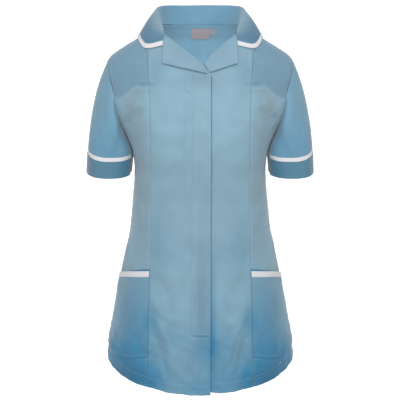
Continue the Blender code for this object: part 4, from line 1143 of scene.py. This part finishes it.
# Painted shade: deep inside the neck, least along the roll and deeper again towards the edge, where an even
# painted shade also darkens the fall
step = np.arange(collar.shape[1])
deep = np.interp(step, [0, 8, 13, 18, 24, len(step)], [0.46, 0.46, 0.05, 0.05, 0.5, 0.8])
even_painted_shade = np.interp(step, [18, 25, len(step)], [0.0, 0.18, 0.26])
grey = 0.10 + 0.60 * ease((collar[..., 1] - 30.0) / -60.0) * ease(step / 10.0 - 1.0)[None, :]
collar_piece = shell(
    "collar_folded", "collar", collar, collar - facing * COLLAR_WALL, sky,
    tints={"grey": grey, "deep": deep, "even_painted_shade": even_painted_shade},
)

BINDING, BINDING_WALL, BOUND_COLUMN = 9.0, 0.45, -8
# Across the binding: how far from the edge, and how far out of the fall
BINDING_PROFILE = table("inward out", [
    (BINDING, 0.05), (BINDING - 0.4, 0.75), (BINDING - 1.4, 1.0), (6.0, 1.1), (3.5, 1.15), (1.5, 1.1),
    (0.3, 0.7), (-0.7, -0.2), (-0.7, -1.2), (0.3, -2.1), (1.5, -2.4), (4.0, -2.4),
])
fall_way = unit(collar[:, BOUND_COLUMN] - collar[:, -1])
rim_normal = unit(mix(facing[:, -1], facing[:, BOUND_COLUMN], 0.3))
lines = [collar[:, -1] + fall_way * row["inward"] + rim_normal * row["out"] for row in BINDING_PROFILE]
rim = np.stack(lines, 1)
rim_out = unit(np.cross(np.gradient(rim, axis=0), np.gradient(rim, axis=1)))
rim_out = rim_out * np.sign((rim_out[:, 3:4] * rim_normal[:, None]).sum(-1, keepdims=True))
sew("collar_stitches", [outward(*line_at(collar[:, -18:], -to_edge[:, -18:], -BINDING - 1.6))])
binding = shell("collar_binding", "collar_trim", rim, rim - rim_out * BINDING_WALL, braid)

# Inside the neck
# A strip of twill covers the neck seam, and a bare ribbon label and a small size tab hang below it,
# caught in the seam. Nothing is printed on them.
label_finish, tree, shader = new_finish("bare_satin_label", 0.55, 0.05, 0.4)
place = add_node(tree, "ShaderNodeUVMap", GRAIN)
satin = add_node(tree, "ShaderNodeTexNoise", out="Fac", Vector=place, Scale=380.0, Detail=1.0)
skin, grain = shader.inputs["Base Color"], shader.inputs["Normal"]
add_node(tree, "ShaderNodeMix", COLOURS, 2, skin, i0=satin, i6=linear("8c8588"), i7=linear("9e979b"))
add_node(tree, "ShaderNodeBump", into=grain, Strength=0.2, Distance=0.0003, Height=satin)
RIBBON, STRIP_SEAM = 0.5, 1.2

for name, node, slot, first, last, top, depth, columns, finish, rest, curl in (
    ("neck_strip", "neck_tape", "cloth", -70.0, 70.0, -0.8, 6.5, 56, sky, 0.4, 0.0),
    ("ribbon_label", "neck_label", "label", -18.5, 18.5, -7.8, 21.0, 20, label_finish, 0.5, 1.2),
    ("ribbon_tab", "size_tab", "label", 21.0, 31.5, -7.8, 12.0, 10, label_finish, 0.5, 0.8),
):
    down = np.linspace(0.0, 1.0, 14)[:, None]
    height = np.broadcast_to(top - depth * down, (14, columns))
    turn = turn_at(BACK, height, np.linspace(first, last, columns)[None, :])
    rise = -(CLOTH + rest + curl * down**2)
    # The strip inside the neck takes a little deeper blue painted shade
    tints = {"grey": 0.0, "deep": 0.1} if finish is sky else None
    piece, outer, inner = cloth_shell(name, node, BACK, turn, height, rise, RIBBON, finish, tints)
    if finish is sky:
        lines = [line_at(flip(inner), flip(top - height), at) for at in (STRIP_SEAM, depth - STRIP_SEAM)]
        sew("neck_strip_stitches", [outward(*line, FRONT) for line in lines])
